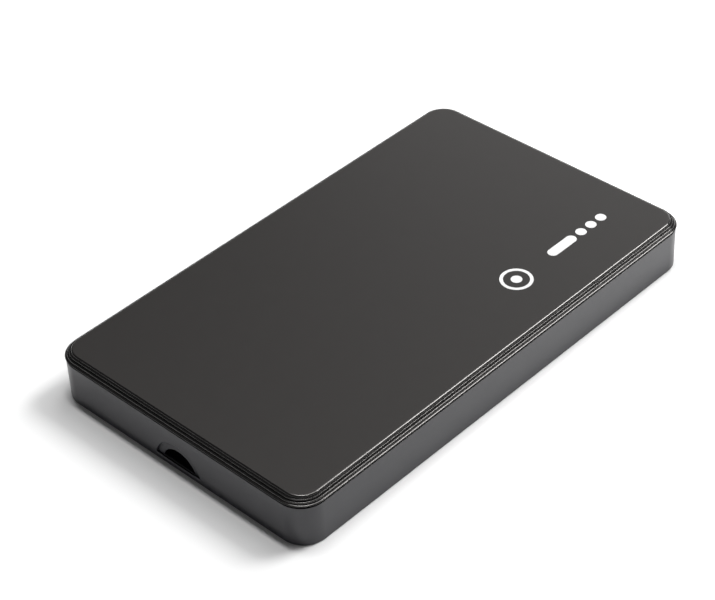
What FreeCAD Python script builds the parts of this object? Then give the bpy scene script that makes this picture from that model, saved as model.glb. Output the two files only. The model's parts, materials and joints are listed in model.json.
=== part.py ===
import FreeCAD, Part
import math
import os

from FreeCAD import Vector

os.makedirs("parts", exist_ok=True)

# External hard drive: a clip-together case round a 2.5 inch disc drive and its bridge board.
# X runs along the case towards the port end, Y across it, Z up. The origin is under the middle of the floor.
# All sizes are in millimetres.

# Disc drive outline
PLATTER_D = 65.0
PLATTER_T = 0.64
PLATTER_BORE_D = 20.0
DECK_SIDE = 2.425
DECK_END = 2.5
REAR_BAY = 32.7
DRIVE_H = 7.0
DRIVE_CORNER_R = 2.0

# Case mouldings
WALL = 1.5
FLOOR_T = 1.4
PLATE_T = 1.7
CORNER_R = 6.0
FOOT_CUT = 0.65
SIDE_GAP = 1.075
END_GAP = 4.5
BRIDGE_BAY = 18.3
PAD_T = 2.4
PAD_MARGIN = 8.0

# Stepped rim of the lid and the shadow gap under it
STEP_COUNT = 3
STEP_RUN = 0.49
STEP_RISE = 0.46
STEP_CUT = 0.1
PLATE_CUT = 0.2
RIM_OVERHANG = 0.15
SEAM_H = 0.4
TONGUE_T = 0.75
WALL_TOP_CUT = 0.12

# Clip skirt of the lid
SKIRT_GAP = 0.1
SKIRT_T = 1.0
SKIRT_DEPTH = 2.0
CLIP_R = 0.3
CLIP_L = 8.0
CLIP_PLAY = 0.15
CLIP_DROP = 1.2
CLIP_FROM_END = 27.7
CLIP_FROM_SIDE = 16.5

# Finger slot in the plain end wall
SLOT_Y = -0.5
SLOT_TOP = 6.5
SLOT_R = 6.6
SLOT_BAND = 1.8
SLOT_STEP = 0.5
SLOT_SILL = 1.5
SILL_T = 0.4
SILL_RELIEF_H = 1.4

# Ribs and bosses in the tray
RIB_T = 1.2
RIB_H = 5.0
RIB_FIT = 0.15
RIB_FROM_END = 15.0
BOSS_R = 2.2

# Bridge board
BOARD_T = 1.0
BOARD_LIFT = 0.8
BOARD_W = 54.0
BOARD_END_GAP = 0.6
BOARD_DRIVE_GAP = 0.8
BOARD_SCREW_INSET = 3.5
BRIDGE_CHIP = 5.0
BRIDGE_CHIP_H = 0.85
FLASH_L = 4.9
FLASH_W = 3.9
FLASH_H = 1.5
CRYSTAL_L = 3.2
CRYSTAL_W = 2.5
CRYSTAL_H = 0.8
INDUCTOR = 4.0
INDUCTOR_H = 1.9
PART_GAP = 1.5
CAP_L = 1.0
CAP_W = 0.5
CAP_COUNT = 6
CAP_PITCH = 1.8
LED_L = 1.6
LED_W = 0.8
LED_H = 0.7
LED_Y = 17.0
GUIDE_W = 2.4
GUIDE_H = 1.0
GUIDE_COLLAR_T = 0.5
GUIDE_PLAY = 0.08

# Port
PORT_W = 12.2
PORT_MAIN_W = 8.0
PORT_H = 2.9
PORT_SIDE_H = 2.35
PORT_CUT = 0.8
PORT_L = 9.2
PORT_SHEET = 0.3
PORT_RECESS = 0.5
PORT_PLAY = 0.25
BLADE_T = 0.6
BLADE_L = 5.0
BLADE_MARGIN = 1.1

# Drive plug and board socket
PLUG_Y = 4.8
PLUG_Z = 3.5
TONGUE_L = 5.0
BLADE_PLUG_T = 1.2
SIGNAL_W = 10.4
POWER_W = 20.6
KEY_GAP = 2.4
KEY_W = 1.2
KEY_DROP = 0.5
PLUG_BACK_T = 1.5
PLUG_GUIDE_T = 1.0
PLUG_H = 3.7
PLUG_SIDE_GAP = 0.3
SOCKET_H = 3.4
SOCKET_ON_BOARD = 4.2
SOCKET_END_T = 1.0
SOCKET_PLAY = 0.15
PIN_PITCH = 1.27
PIN_W = 0.8
PIN_T = 0.1

# Drive levels above its own underside
WELL_LEVEL = 1.3
DECK_LEVEL = 2.7
DECK_T = 0.6
DISC_LEVEL = 4.3
LID_SHEET = 0.5
LID_RISE = 0.4
GASKET_T = 0.35
GASKET_W = 0.8
GASKET_INSET = 0.45
WELL_CLEAR = 0.7
WELL_RIM = 1.3
SIDE_WALL = 2.0
REAR_WALL = 1.5
PLUG_BAY = 7.2
BOARD_BAY_W = 55.0
MOUNT_R = 1.25
MOUNT_INSET = 4.065
MOUNT_NEAR = 14.0
MOUNT_FAR = 90.6
MOUNT_DEPTH = 1.6
MOUNT_SIDE_Z = 3.0
MOUNT_SIDE_DEPTH = 2.6
LUG_R = 2.2
LUG_INSET = 3.3
MID_LUG_X = 24.0
CORNER_BOSS_L = 10.0
CORNER_BOSS_W = 5.0

# Screws and the other small round parts, which are drawn with few flat sides
SMALL_SIDES = 8
SCREW_R = 0.8
SCREW_HEAD_R = 1.6
SCREW_HEAD_H = 0.4
SCREW_GRIP = 3.0
SCREW_PLAY = 0.15

# Drive board
DRIVE_BOARD_T = 0.8
DRIVE_BOARD_LIFT = 0.5
DRIVE_BOARD_PLAY = 0.5
DRIVE_BOARD_LAP = 3.5
CONTROLLER = 9.0
MEMORY_L = 8.0
MEMORY_W = 6.0
DRIVER = 6.0
DRIVE_CHIP_H = 0.7

# Spindle motor
SHAFT_R = 1.5
SHAFT_FIT = 0.03
SLEEVE_R = 3.4
SLEEVE_BASE_T = 0.3
HUB_FLANGE = 2.0
HUB_WEB = 0.63
CUP_T = 2.4
CUP_CLEAR = 0.4
BORE_PLAY = 0.1
ROTOR_T = 0.7
ROTOR_GAP = 0.4
STATOR_T = 1.2
STATOR_LIFT = 0.5
TOOTH_COUNT = 9
TOOTH_W = 1.0
CORE_W = 1.2
TIP_W = 0.8
TIP_HALF_ANGLE = 13.0
COIL_WIND = 0.5
COIL_PLAY = 0.15
CLAMP_T = 0.3
CLAMP_GAP = 0.05

# Head arm
PIVOT_OUT = 7.7
ARM_SHORT = 5.2
PARK_OUT = 2.5
INNER_TRACK_R = 15.0
ARM_T = 0.55
ARM_HUB_R = 4.6
ARM_ROOT_HALF = 3.6
ARM_TIP_HALF = 2.0
ARM_TIP_X = 22.0
BEARING_R = 3.2
POST_R = 1.6
PIVOT_FIT = 0.05
HEAD_FLY = 0.08
HEAD_T = 0.23
HEAD_L = 1.2
HEAD_W = 1.0
SPRING_T = 0.12
SPRING_LAP = 5.0
TAB_L = 3.5
TAB_HALF = 0.4
COIL_SKEW = 205.0
COIL_IN = 8.5
COIL_OUT = 16.0
COIL_HALF = 17.0
COIL_BAND = 1.7
COIL_T = 0.7
PRONG_ANGLE = 5.0
PRONG_OUT = 14.0

# Magnet yokes round the coil
YOKE_IN = 8.0
YOKE_OUT = 17.3
YOKE_SIDE_GAP = 1.153
YOKE_T = 0.5
MAGNET_T = 0.5
MAGNET_INSET = 0.9
YOKE_MARGIN = 21.0
MAGNET_MARGIN = 17.0
POST_MARGIN = 5.0
YOKE_POST_R = 1.2
YOKE_POST_AT = 12.5
COIL_AIR = 0.25

# Ramp, flex and filters
RAMP_PLAY = 0.06
RAMP_START = 1.3
RAMP_W = 3.3
RAMP_FOOT = 2.9
RAMP_BACK = 6.0
RAMP_AHEAD = 8.0
RAMP_DISC_GAP = 0.5
FLEX_R = 6.2
FLEX_T = 0.2
FLEX_FROM = 25.0
FLEX_TO = 55.0
FLEX_TAIL = 15.0
FLEX_BASE_LIFT = 0.9
FLEX_H = 1.8
FLEX_BLOCK_L = 5.0
FLEX_BLOCK_W = 4.0
FILTER_L = 5.0
FILTER_W = 4.0
FILTER_H = 2.8
BREATHER_L = 8.0
BREATHER_T = 1.3

# Outline of the drive and the case, built up from what they hold
PLATTER_R = PLATTER_D / 2
DRIVE_W = PLATTER_D + 2 * DECK_SIDE
DRIVE_L = PLATTER_D + DECK_END + REAR_BAY
CASE_L = DRIVE_L + END_GAP + BRIDGE_BAY + 2 * WALL
CASE_W = DRIVE_W + 2 * SIDE_GAP + 2 * WALL
CASE_H = FLOOR_T + DRIVE_H + PAD_T + PLATE_T
X_END = CASE_L / 2
Y_SIDE = CASE_W / 2

# Case levels
RIM_Z = CASE_H - PLATE_T
WALL_TOP_Z = RIM_Z - SEAM_H
SKIRT_INSET = WALL + SKIRT_GAP
CLIP_Z = RIM_Z - CLIP_DROP
CLIP_X = X_END - CLIP_FROM_END
CLIP_Y = Y_SIDE - CLIP_FROM_SIDE

# Drive position and levels
DRIVE_X1 = X_END - WALL - BRIDGE_BAY
DRIVE_X0 = DRIVE_X1 - DRIVE_L
DRIVE_Y = DRIVE_W / 2
DRIVE_Z0 = FLOOR_T
DRIVE_Z1 = DRIVE_Z0 + DRIVE_H
WELL_Z = DRIVE_Z0 + WELL_LEVEL
DECK_Z = DRIVE_Z0 + DECK_LEVEL
DECK_UNDER_Z = DECK_Z - DECK_T
LID_TOP_Z = DRIVE_Z1 - LID_RISE
LID_Z = LID_TOP_Z - LID_SHEET
BASE_TOP_Z = LID_Z - GASKET_T
WELL_R = PLATTER_R + WELL_CLEAR
CAVITY_Y = DRIVE_Y - SIDE_WALL
CAVITY_X1 = DRIVE_X1 - PLUG_BAY - REAR_WALL
PLUG_BAY_X = DRIVE_X1 - PLUG_BAY
LUG_Y = DRIVE_Y - LUG_INSET
MOUNT_Y = DRIVE_Y - MOUNT_INSET

# Spindle position and disc levels
SPINDLE_X = DRIVE_X0 + DECK_END + PLATTER_R
DISC_Z = DRIVE_Z0 + DISC_LEVEL
DISC_Z0 = DISC_Z - PLATTER_T / 2
DISC_Z1 = DISC_Z + PLATTER_T / 2
HUB_R = PLATTER_BORE_D / 2 - BORE_PLAY
HUB_FLANGE_R = HUB_R + HUB_FLANGE + BORE_PLAY
WEB_Z = DISC_Z0 - HUB_WEB
CUP_BORE_R = HUB_FLANGE_R - CUP_T
CUP_Z = WELL_Z + CUP_CLEAR
ROTOR_BORE_R = CUP_BORE_R - ROTOR_T
STATOR_R = ROTOR_BORE_R - ROTOR_GAP
STATOR_Z = WELL_Z + STATOR_LIFT
SLEEVE_TOP_Z = WEB_Z - COIL_PLAY
HUB_TOP_Z = DISC_Z1 - CLAMP_GAP
CLAMP_TOP_Z = DISC_Z1 + CLAMP_T

# Pivot position and the arm's swing
PIVOT_DIST = PLATTER_R + PIVOT_OUT
PIVOT_Y = YOKE_OUT + YOKE_SIDE_GAP - CAVITY_Y
PIVOT_ANGLE = math.degrees(math.asin(PIVOT_Y / PIVOT_DIST))
PIVOT_X = SPINDLE_X + PIVOT_DIST * math.cos(math.radians(PIVOT_ANGLE))
ARM_REACH = PIVOT_DIST - ARM_SHORT
PARK_R = PLATTER_R + PARK_OUT


def turn_for(track_r):
    """Angle at the pivot between the spindle and a head that stands on the given radius."""
    near = PIVOT_DIST ** 2 + ARM_REACH ** 2 - track_r ** 2
    return math.degrees(math.acos(near / (2 * PIVOT_DIST * ARM_REACH)))


TO_SPINDLE = 180.0 + PIVOT_ANGLE
PARK_ANGLE = TO_SPINDLE - turn_for(PARK_R)
SWING = turn_for(PARK_R) - turn_for(INNER_TRACK_R)
HEAD_UP_Z = DISC_Z1 + HEAD_FLY
SPRING_UP_Z = HEAD_UP_Z + HEAD_T
ARM_UP_Z = SPRING_UP_Z + SPRING_T
ARM_TOP_Z = ARM_UP_Z + ARM_T
HEAD_LOW_Z = DISC_Z0 - HEAD_FLY - HEAD_T
SPRING_LOW_Z = HEAD_LOW_Z - SPRING_T
ARM_LOW_Z = SPRING_LOW_Z - ARM_T
COIL_Z0 = DISC_Z - COIL_T / 2
COIL_Z1 = DISC_Z + COIL_T / 2
COIL_FRAME = COIL_HALF + PRONG_ANGLE
COIL_AXIS = PARK_ANGLE + COIL_SKEW
YOKE_A0 = COIL_AXIS - COIL_FRAME - YOKE_MARGIN
YOKE_A1 = COIL_AXIS + SWING + COIL_FRAME + YOKE_MARGIN
LOWER_MAGNET_Z = COIL_Z0 - COIL_AIR - MAGNET_T
UPPER_MAGNET_Z = COIL_Z1 + COIL_AIR
LOWER_YOKE_TOP_Z = LOWER_MAGNET_Z
UPPER_YOKE_Z = UPPER_MAGNET_Z + MAGNET_T

# Bridge board position
BOARD_Z0 = FLOOR_T + BOARD_LIFT
BOARD_Z1 = BOARD_Z0 + BOARD_T
BOARD_X0 = DRIVE_X1 + BOARD_DRIVE_GAP
BOARD_X1 = X_END - WALL - BOARD_END_GAP
BOARD_SCREW_X = BOARD_X1 - BOARD_SCREW_INSET
BOARD_SCREW_Y = BOARD_W / 2 - BOARD_SCREW_INSET
PORT_X1 = X_END - PORT_RECESS
PORT_X0 = PORT_X1 - PORT_L
GUIDE_Z = BOARD_Z1 + GUIDE_H / 2 + GUIDE_COLLAR_T

# Drive plug position
PLUG_MID_Z = DRIVE_Z0 + PLUG_Z
DRIVE_BOARD_Z0 = DRIVE_Z0 + DRIVE_BOARD_LIFT
DRIVE_BOARD_Z1 = DRIVE_BOARD_Z0 + DRIVE_BOARD_T
PLUG_X0 = PLUG_BAY_X + PLUG_SIDE_GAP
TONGUE_X0 = PLUG_X0 + PLUG_BACK_T
TONGUE_X1 = TONGUE_X0 + TONGUE_L
PLUG_HALF = (SIGNAL_W + KEY_GAP + POWER_W) / 2
SOCKET_HALF = PLUG_HALF + SOCKET_END_T
GUIDE_HALF = SOCKET_HALF + PLUG_SIDE_GAP
PLUG_BAY_HALF = GUIDE_HALF + PLUG_GUIDE_T + PLUG_SIDE_GAP
SOCKET_X0 = TONGUE_X0 + PLUG_SIDE_GAP
SOCKET_X1 = BOARD_X0 + SOCKET_ON_BOARD

# Drive board position
BOARD_BAY_X0 = SPINDLE_X + WELL_R + WELL_RIM
DRIVE_BOARD_X0 = BOARD_BAY_X0 + DRIVE_BOARD_PLAY
DRIVE_BOARD_X1 = TONGUE_X0 + DRIVE_BOARD_LAP
DRIVE_BOARD_Y = BOARD_BAY_W / 2 - DRIVE_BOARD_PLAY
BOARD_HOLD_X = (DRIVE_BOARD_X0 + LUG_R, CAVITY_X1 - LUG_R)
BOARD_HOLD_Y = DRIVE_BOARD_Y - LUG_R
BOARD_PILOT_Z = DECK_Z - DECK_T / 2

UP = Vector(0, 0, 1)
ORIGIN = Vector(0, 0, 0)
NEAR_ZERO = 1e-6
REACH = 1.0


def block(x0, x1, y0, y1, z0, z1):
    """Upright block between the given limits."""
    return Part.makeBox(x1 - x0, y1 - y0, z1 - z0, Vector(x0, y0, z0))


def pad(x, y, z, length, width, height):
    """Block that stands on level z with its middle at x, y."""
    return block(x - length / 2, x + length / 2, y - width / 2, y + width / 2, z, z + height)


def disc(x, y, z0, z1, r):
    """Upright cylinder."""
    return Part.makeCylinder(r, z1 - z0, Vector(x, y, z0))


def few_sided(x, y, z0, z1, r):
    """Upright prism with few flat sides that stands for a small round form."""
    turn = 2 * math.pi / SMALL_SIDES
    points = []
    for side in range(SMALL_SIDES):
        points.append((x + r * math.cos(side * turn), y + r * math.sin(side * turn)))
    return prism(points, z0, z1)


def rounded_slab(x0, x1, y0, y1, z0, z1, r):
    """Upright block whose four vertical edges are rounded by r."""
    corner = r * (1 - math.sqrt(0.5))
    ends = [
        Vector(x0 + r, y0, z0), Vector(x1 - r, y0, z0),
        Vector(x1, y0 + r, z0), Vector(x1, y1 - r, z0),
        Vector(x1 - r, y1, z0), Vector(x0 + r, y1, z0),
        Vector(x0, y1 - r, z0), Vector(x0, y0 + r, z0),
    ]
    mids = [
        Vector(x1 - corner, y0 + corner, z0), Vector(x1 - corner, y1 - corner, z0),
        Vector(x0 + corner, y1 - corner, z0), Vector(x0 + corner, y0 + corner, z0),
    ]
    edges = []
    for side in range(4):
        start = ends[2 * side]
        stop = ends[2 * side + 1]
        edges.append(Part.makeLine(start, stop))
        edges.append(Part.Arc(stop, mids[side], ends[(2 * side + 2) % 8]).toShape())
    return Part.Face(Part.Wire(edges)).extrude(Vector(0, 0, z1 - z0))


def case_slab(inset, z0, z1):
    """Slab with the case's outline, drawn in by an inset."""
    return rounded_slab(
        inset - X_END, X_END - inset, inset - Y_SIDE, Y_SIDE - inset, z0, z1, CORNER_R - inset
    )


def drive_slab(inset, z0, z1):
    """Slab with the drive's outline, drawn in by an inset."""
    return rounded_slab(
        DRIVE_X0 + inset, DRIVE_X1 - inset, inset - DRIVE_Y, DRIVE_Y - inset, z0, z1, DRIVE_CORNER_R
    )


def level_edges(shape, z):
    """Edges of a shape that lie flat on level z."""
    found = []
    for edge in shape.Edges:
        box = edge.BoundBox
        if abs(box.ZMin - z) < NEAR_ZERO and abs(box.ZMax - z) < NEAR_ZERO:
            found.append(edge)
    return found


def prism(points, z0, z1):
    """Polygon in plan, drawn up from z0 to z1."""
    loop = [Vector(x, y, z0) for x, y in points]
    return Part.Face(Part.makePolygon(loop + loop[:1])).extrude(Vector(0, 0, z1 - z0))


def turned(profile, x, y):
    """Solid of revolution of a radius and height profile about an upright axis."""
    loop = [Vector(r, 0, z) for r, z in profile]
    solid = Part.Face(Part.makePolygon(loop + loop[:1])).revolve(ORIGIN, UP, 360)
    solid.translate(Vector(x, y, 0))
    return solid


def sector(r0, r1, a0, a1, z0, z1):
    """Piece of an upright ring about the pivot, between two angles in degrees."""
    ring = Part.makeCylinder(r1, z1 - z0, Vector(0, 0, z0), UP, a1 - a0)
    ring = ring.cut(Part.makeCylinder(r0, z1 - z0, Vector(0, 0, z0)))
    ring.rotate(ORIGIN, UP, a0)
    ring.translate(Vector(PIVOT_X, PIVOT_Y, 0))
    return ring


def on_arm(shape):
    """Turns a shape drawn along X from the pivot onto the parked arm."""
    shape.rotate(ORIGIN, UP, PARK_ANGLE)
    shape.translate(Vector(PIVOT_X, PIVOT_Y, 0))
    return shape


def joined(shapes):
    """One solid from shapes that overlap or touch."""
    return shapes[0].fuse(shapes[1:]).removeSplitter()


def save(name, shape):
    """Writes one named piece."""
    shape.exportStep("parts/" + name + ".step")


def clip_places():
    """Middle and direction of each lid clip, as x, y, and 1 when the clip runs along X."""
    places = []
    for side in (-1, 1):
        for step in (-1, 0, 1):
            places.append((step * CLIP_X, side * (Y_SIDE - SKIRT_INSET), 1))
        for step in (-1, 1):
            places.append((side * (X_END - SKIRT_INSET), step * CLIP_Y, 0))
    return places


# Lid with the stepped rim

def stepped_plate():
    """Raised plate over three equal steps that end just outside the walls, with every edge broken."""
    levels = []
    for step in range(STEP_COUNT + 1):
        inset = step * STEP_RUN - RIM_OVERHANG
        top = CASE_H - (STEP_COUNT - step) * STEP_RISE
        tier = case_slab(inset, RIM_Z, top)
        last = step in (0, STEP_COUNT)
        tier = tier.makeChamfer(PLATE_CUT if last else STEP_CUT, level_edges(tier, top))
        levels.append(tier)
    return joined(levels)


def clip_bead(x, y, along):
    """Ridge of square section set on its edge, half sunk in the skirt, that snaps into the tray."""
    side = CLIP_R * math.sqrt(2)
    ridge = Part.makeBox(CLIP_L, side, side, Vector(-CLIP_L / 2, -side / 2, -side / 2))
    ridge.rotate(ORIGIN, Vector(1, 0, 0), 45)
    if not along:
        ridge.rotate(ORIGIN, UP, 90)
    ridge.translate(Vector(x, y, CLIP_Z))
    return ridge


def skirt_strips():
    """One strip along each side, inside the walls, that stops short of the round corners."""
    strips = []
    half_x = X_END - CORNER_R
    half_y = Y_SIDE - CORNER_R
    low = RIM_Z - SKIRT_DEPTH
    for side in (-1, 1):
        x = side * (X_END - SKIRT_INSET - SKIRT_T / 2)
        y = side * (Y_SIDE - SKIRT_INSET - SKIRT_T / 2)
        strips.append(pad(x, 0, low, SKIRT_T, 2 * half_y, SKIRT_DEPTH))
        strips.append(pad(0, y, low, 2 * half_x, SKIRT_T, SKIRT_DEPTH))
    return strips


def top_cover():
    """Lid: stepped plate, skirt strips that drop inside the walls, and clip beads."""
    beads = [clip_bead(x, y, along) for x, y, along in clip_places()]
    return joined([stepped_plate()] + skirt_strips() + beads)


save("top_cover", top_cover())


# Tray with the finger slot, port opening, ribs and board bosses

def slot_shape(r, depth_from, depth_to, sill):
    """Half-moon with a flat sill, cut into the plain end wall between two depths."""
    middle = Vector(depth_from - X_END, SLOT_Y, SLOT_TOP - SLOT_R)
    moon = Part.makeCylinder(r, depth_to - depth_from, middle, Vector(1, 0, 0))
    return moon.common(block(-X_END - REACH, 0, -Y_SIDE, Y_SIDE, sill, CASE_H))


def finger_slot():
    """Shallow half-moon step, the smaller opening inside it, and a relief behind the sill."""
    opening_r = SLOT_R - SLOT_BAND
    step = slot_shape(SLOT_R, -REACH, SLOT_STEP, SLOT_SILL)
    opening = slot_shape(opening_r, 0, WALL + REACH, SLOT_SILL)
    relief_x = SLOT_STEP + SILL_T - X_END
    relief = block(
        relief_x, WALL + REACH - X_END, SLOT_Y - opening_r, SLOT_Y + opening_r,
        FLOOR_T, SLOT_SILL + SILL_RELIEF_H,
    )
    return [step, opening, relief]


def port_outline(grow):
    """Stepped outline of the port in the Y and Z plane, grown outwards all round."""
    left = -PORT_W / 2 - grow
    right = PORT_W / 2 + grow
    shoulder = PORT_MAIN_W - PORT_W / 2 + grow
    low = BOARD_Z1 - grow
    high = BOARD_Z1 + PORT_H + grow
    side_high = BOARD_Z1 + PORT_SIDE_H + grow
    return [
        (left, low), (right, low), (right, side_high), (shoulder, side_high),
        (shoulder, high - PORT_CUT / 2), (shoulder - PORT_CUT / 2, high), (left + PORT_CUT, high),
        (left, high - PORT_CUT),
    ]


def port_prism(grow, x0, x1):
    """Port outline drawn along X."""
    loop = [Vector(x0, y, z) for y, z in port_outline(grow)]
    return Part.Face(Part.makePolygon(loop + loop[:1])).extrude(Vector(x1 - x0, 0, 0))


def guide_bar(grow, x0, x1):
    """Flat bar along X at the light, grown outwards all round."""
    half_w = GUIDE_W / 2 + grow
    half_h = GUIDE_H / 2 + grow
    return block(x0, x1, LED_Y - half_w, LED_Y + half_w, GUIDE_Z - half_h, GUIDE_Z + half_h)


def clip_pocket(x, y, along):
    """Pocket in the wall's inner face that a lid bead snaps into."""
    reach = CLIP_R + CLIP_PLAY
    half = CLIP_L / 2 + CLIP_PLAY
    if along:
        return block(x - half, x + half, y - reach, y + reach, CLIP_Z - reach, CLIP_Z + reach)
    return block(x - reach, x + reach, y - half, y + half, CLIP_Z - reach, CLIP_Z + reach)


def locating_ribs():
    """Ribs on the walls that hold the drive sideways and against the plain end."""
    ribs = []
    top = FLOOR_T + RIB_H
    bury = WALL / 2
    side = DRIVE_Y + RIB_FIT
    for x in (DRIVE_X0 + RIB_FROM_END, (DRIVE_X0 + DRIVE_X1) / 2, DRIVE_X1 - RIB_FROM_END):
        ribs.append(block(x - RIB_T / 2, x + RIB_T / 2, side, Y_SIDE - bury, FLOOR_T, top))
        ribs.append(block(x - RIB_T / 2, x + RIB_T / 2, bury - Y_SIDE, -side, FLOOR_T, top))
    for y in (-CLIP_Y, CLIP_Y):
        ribs.append(block(bury - X_END, DRIVE_X0 - RIB_FIT, y - RIB_T / 2, y + RIB_T / 2, FLOOR_T, top))
    return ribs


def bottom_case():
    """Tray: floor and walls with a bevelled foot, a seat for the lid, and everything moulded inside."""
    body = case_slab(0, 0, WALL_TOP_Z)
    body = body.makeChamfer(FOOT_CUT, level_edges(body, 0))
    body = body.makeChamfer(WALL_TOP_CUT, level_edges(body, WALL_TOP_Z))
    body = body.fuse(case_slab(WALL - TONGUE_T, FLOOR_T, RIM_Z))
    body = body.cut(case_slab(WALL, FLOOR_T, CASE_H))
    bosses = []
    pilots = []
    for side in (-1, 1):
        y = side * BOARD_SCREW_Y
        bosses.append(few_sided(BOARD_SCREW_X, y, FLOOR_T / 2, BOARD_Z0, BOSS_R))
        pilots.append(few_sided(BOARD_SCREW_X, y, FLOOR_T / 2, BOARD_Z0, SCREW_R))
    body = body.fuse(locating_ribs() + bosses)
    port = port_prism(PORT_PLAY, X_END - WALL - REACH, X_END + REACH)
    light = guide_bar(GUIDE_PLAY, X_END - WALL - REACH, X_END + REACH)
    pockets = [clip_pocket(x, y, along) for x, y, along in clip_places()]
    return body.cut(finger_slot() + pilots + pockets + [port, light]).removeSplitter()


save("bottom_case", bottom_case())


# Foam between the drive and the lid
PAD_Y = DRIVE_Y - PAD_MARGIN
save("foam_pad", block(DRIVE_X0 + PAD_MARGIN, DRIVE_X1 - PAD_MARGIN, -PAD_Y, PAD_Y, DRIVE_Z1, RIM_Z))


# Screws share one form: a flat head that bears on a seat, and a shank

def screw(x, y, seat, grip, upward):
    """Flat-head screw on a seat, with its shank pointing up or down."""
    way = 1 if upward else -1
    levels = [seat - way * SCREW_HEAD_H, seat, seat + way * grip]
    head = few_sided(x, y, levels[0], levels[1], SCREW_HEAD_R)
    shank = few_sided(x, y, levels[1], levels[2], SCREW_R)
    return joined([head, shank])


# Bridge board and the parts on it

def bridge_board():
    """Board with two screw holes."""
    board = block(BOARD_X0, BOARD_X1, -BOARD_W / 2, BOARD_W / 2, BOARD_Z0, BOARD_Z1)
    holes = []
    for side in (-1, 1):
        y = side * BOARD_SCREW_Y
        holes.append(few_sided(BOARD_SCREW_X, y, BOARD_Z0, BOARD_Z1, SCREW_R + SCREW_PLAY))
    return board.cut(holes)


CHIP_X = (SOCKET_X1 + BOARD_X1) / 2
INDUCTOR_Y = BOARD_SCREW_INSET + BOSS_R + PART_GAP + INDUCTOR / 2 - BOARD_W / 2
CHIP_Y = INDUCTOR_Y + INDUCTOR / 2 + PART_GAP + BRIDGE_CHIP / 2
save("bridge_board", bridge_board())
save("bridge_chip", pad(CHIP_X, CHIP_Y, BOARD_Z1, BRIDGE_CHIP, BRIDGE_CHIP, BRIDGE_CHIP_H))
save("flash_chip", pad(CHIP_X, PORT_W / 2 + FLASH_W, BOARD_Z1, FLASH_L, FLASH_W, FLASH_H))
save("crystal", pad(BOARD_X1 - CRYSTAL_W, CHIP_Y, BOARD_Z1, CRYSTAL_W, CRYSTAL_L, CRYSTAL_H))
save("inductor", pad(SOCKET_X1 + INDUCTOR, INDUCTOR_Y, BOARD_Z1, INDUCTOR, INDUCTOR, INDUCTOR_H))
capacitors = []
for number in range(CAP_COUNT):
    cap_y = PORT_W / 2 + FLASH_W + (number - CAP_COUNT / 2) * CAP_PITCH
    capacitors.append(pad(SOCKET_X1 + CAP_L, cap_y, BOARD_Z1, CAP_L, CAP_W, CAP_W))
save("capacitors", Part.makeCompound(capacitors))
save("status_led", pad(BOARD_X1 - LED_W, LED_Y, BOARD_Z1, LED_W, LED_L, LED_H))
bridge_screws = []
for side in (-1, 1):
    bridge_screws.append(screw(BOARD_SCREW_X, side * BOARD_SCREW_Y, BOARD_Z1, BOARD_T + BOARD_LIFT, False))
save("bridge_screws", Part.makeCompound(bridge_screws))


def light_guide():
    """Clear bar from the light to the end wall, with a collar against the wall's inner face."""
    inner = X_END - WALL
    bar = guide_bar(0, BOARD_X1, X_END)
    return joined([bar, guide_bar(GUIDE_COLLAR_T, inner - GUIDE_COLLAR_T, inner)])


def usb_insert():
    """Contact block: a back wall that fills the shell and two blades of different width."""
    back = port_prism(-PORT_SHEET, PORT_X0, PORT_X1 - PORT_SHEET - BLADE_L)
    shoulder = PORT_MAIN_W - PORT_W / 2
    mid = BOARD_Z1 + PORT_SIDE_H / 2
    blades = [back]
    for y0, y1 in ((-PORT_W / 2, shoulder), (shoulder - PORT_SHEET, PORT_W / 2)):
        blades.append(
            block(
                PORT_X0, PORT_X1 - PORT_SHEET, y0 + BLADE_MARGIN, y1 - BLADE_MARGIN,
                mid - BLADE_T / 2, mid + BLADE_T / 2,
            )
        )
    return joined(blades)


save("light_guide", light_guide())
save("usb_shell", port_prism(0, PORT_X0, PORT_X1).cut(port_prism(-PORT_SHEET, PORT_X0, PORT_X1)))
save("usb_insert", usb_insert())


# Drive plug and the board socket it meets

def tongue_spans():
    """Y limits of the power and signal blades."""
    power = PLUG_Y - PLUG_HALF
    signal = PLUG_Y + PLUG_HALF - SIGNAL_W
    return ((power, power + POWER_W), (signal, signal + SIGNAL_W))


def keyed_blades(grow, x0, x1):
    """Two blades, each with a short leg at one end that stops the plug going in upside down."""
    shapes = []
    half = BLADE_PLUG_T / 2 + grow
    for y0, y1 in tongue_spans():
        shapes.append(block(x0, x1, y0 - grow, y1 + grow, PLUG_MID_Z - half, PLUG_MID_Z + half))
        shapes.append(
            block(x0, x1, y0 - grow, y0 + KEY_W + grow, PLUG_MID_Z - half - KEY_DROP, PLUG_MID_Z + half)
        )
    return shapes


def drive_connector():
    """Plug on the drive board: back wall, two side guides and the keyed blades."""
    top = DRIVE_BOARD_Z1 + PLUG_H
    outer = GUIDE_HALF + PLUG_GUIDE_T
    back = block(PLUG_X0, TONGUE_X0, PLUG_Y - outer, PLUG_Y + outer, DRIVE_BOARD_Z1, top)
    guides = []
    for y in (PLUG_Y - outer, PLUG_Y + GUIDE_HALF):
        guides.append(block(PLUG_X0, TONGUE_X1, y, y + PLUG_GUIDE_T, DRIVE_BOARD_Z1, top))
    return joined([back] + guides + keyed_blades(0, PLUG_X0, TONGUE_X1))


def drive_contacts():
    """Flat contacts laid along the upper face of the two blades, as many as each blade has room for."""
    pins = []
    top = PLUG_MID_Z + BLADE_PLUG_T / 2
    for y0, y1 in tongue_spans():
        count = int((y1 - y0 - KEY_W) / PIN_PITCH)
        for number in range(count):
            y = (y0 + y1) / 2 + (number - (count - 1) / 2) * PIN_PITCH
            pins.append(block(TONGUE_X0, TONGUE_X1, y - PIN_W / 2, y + PIN_W / 2, top, top + PIN_T))
    return Part.makeCompound(pins)


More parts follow.
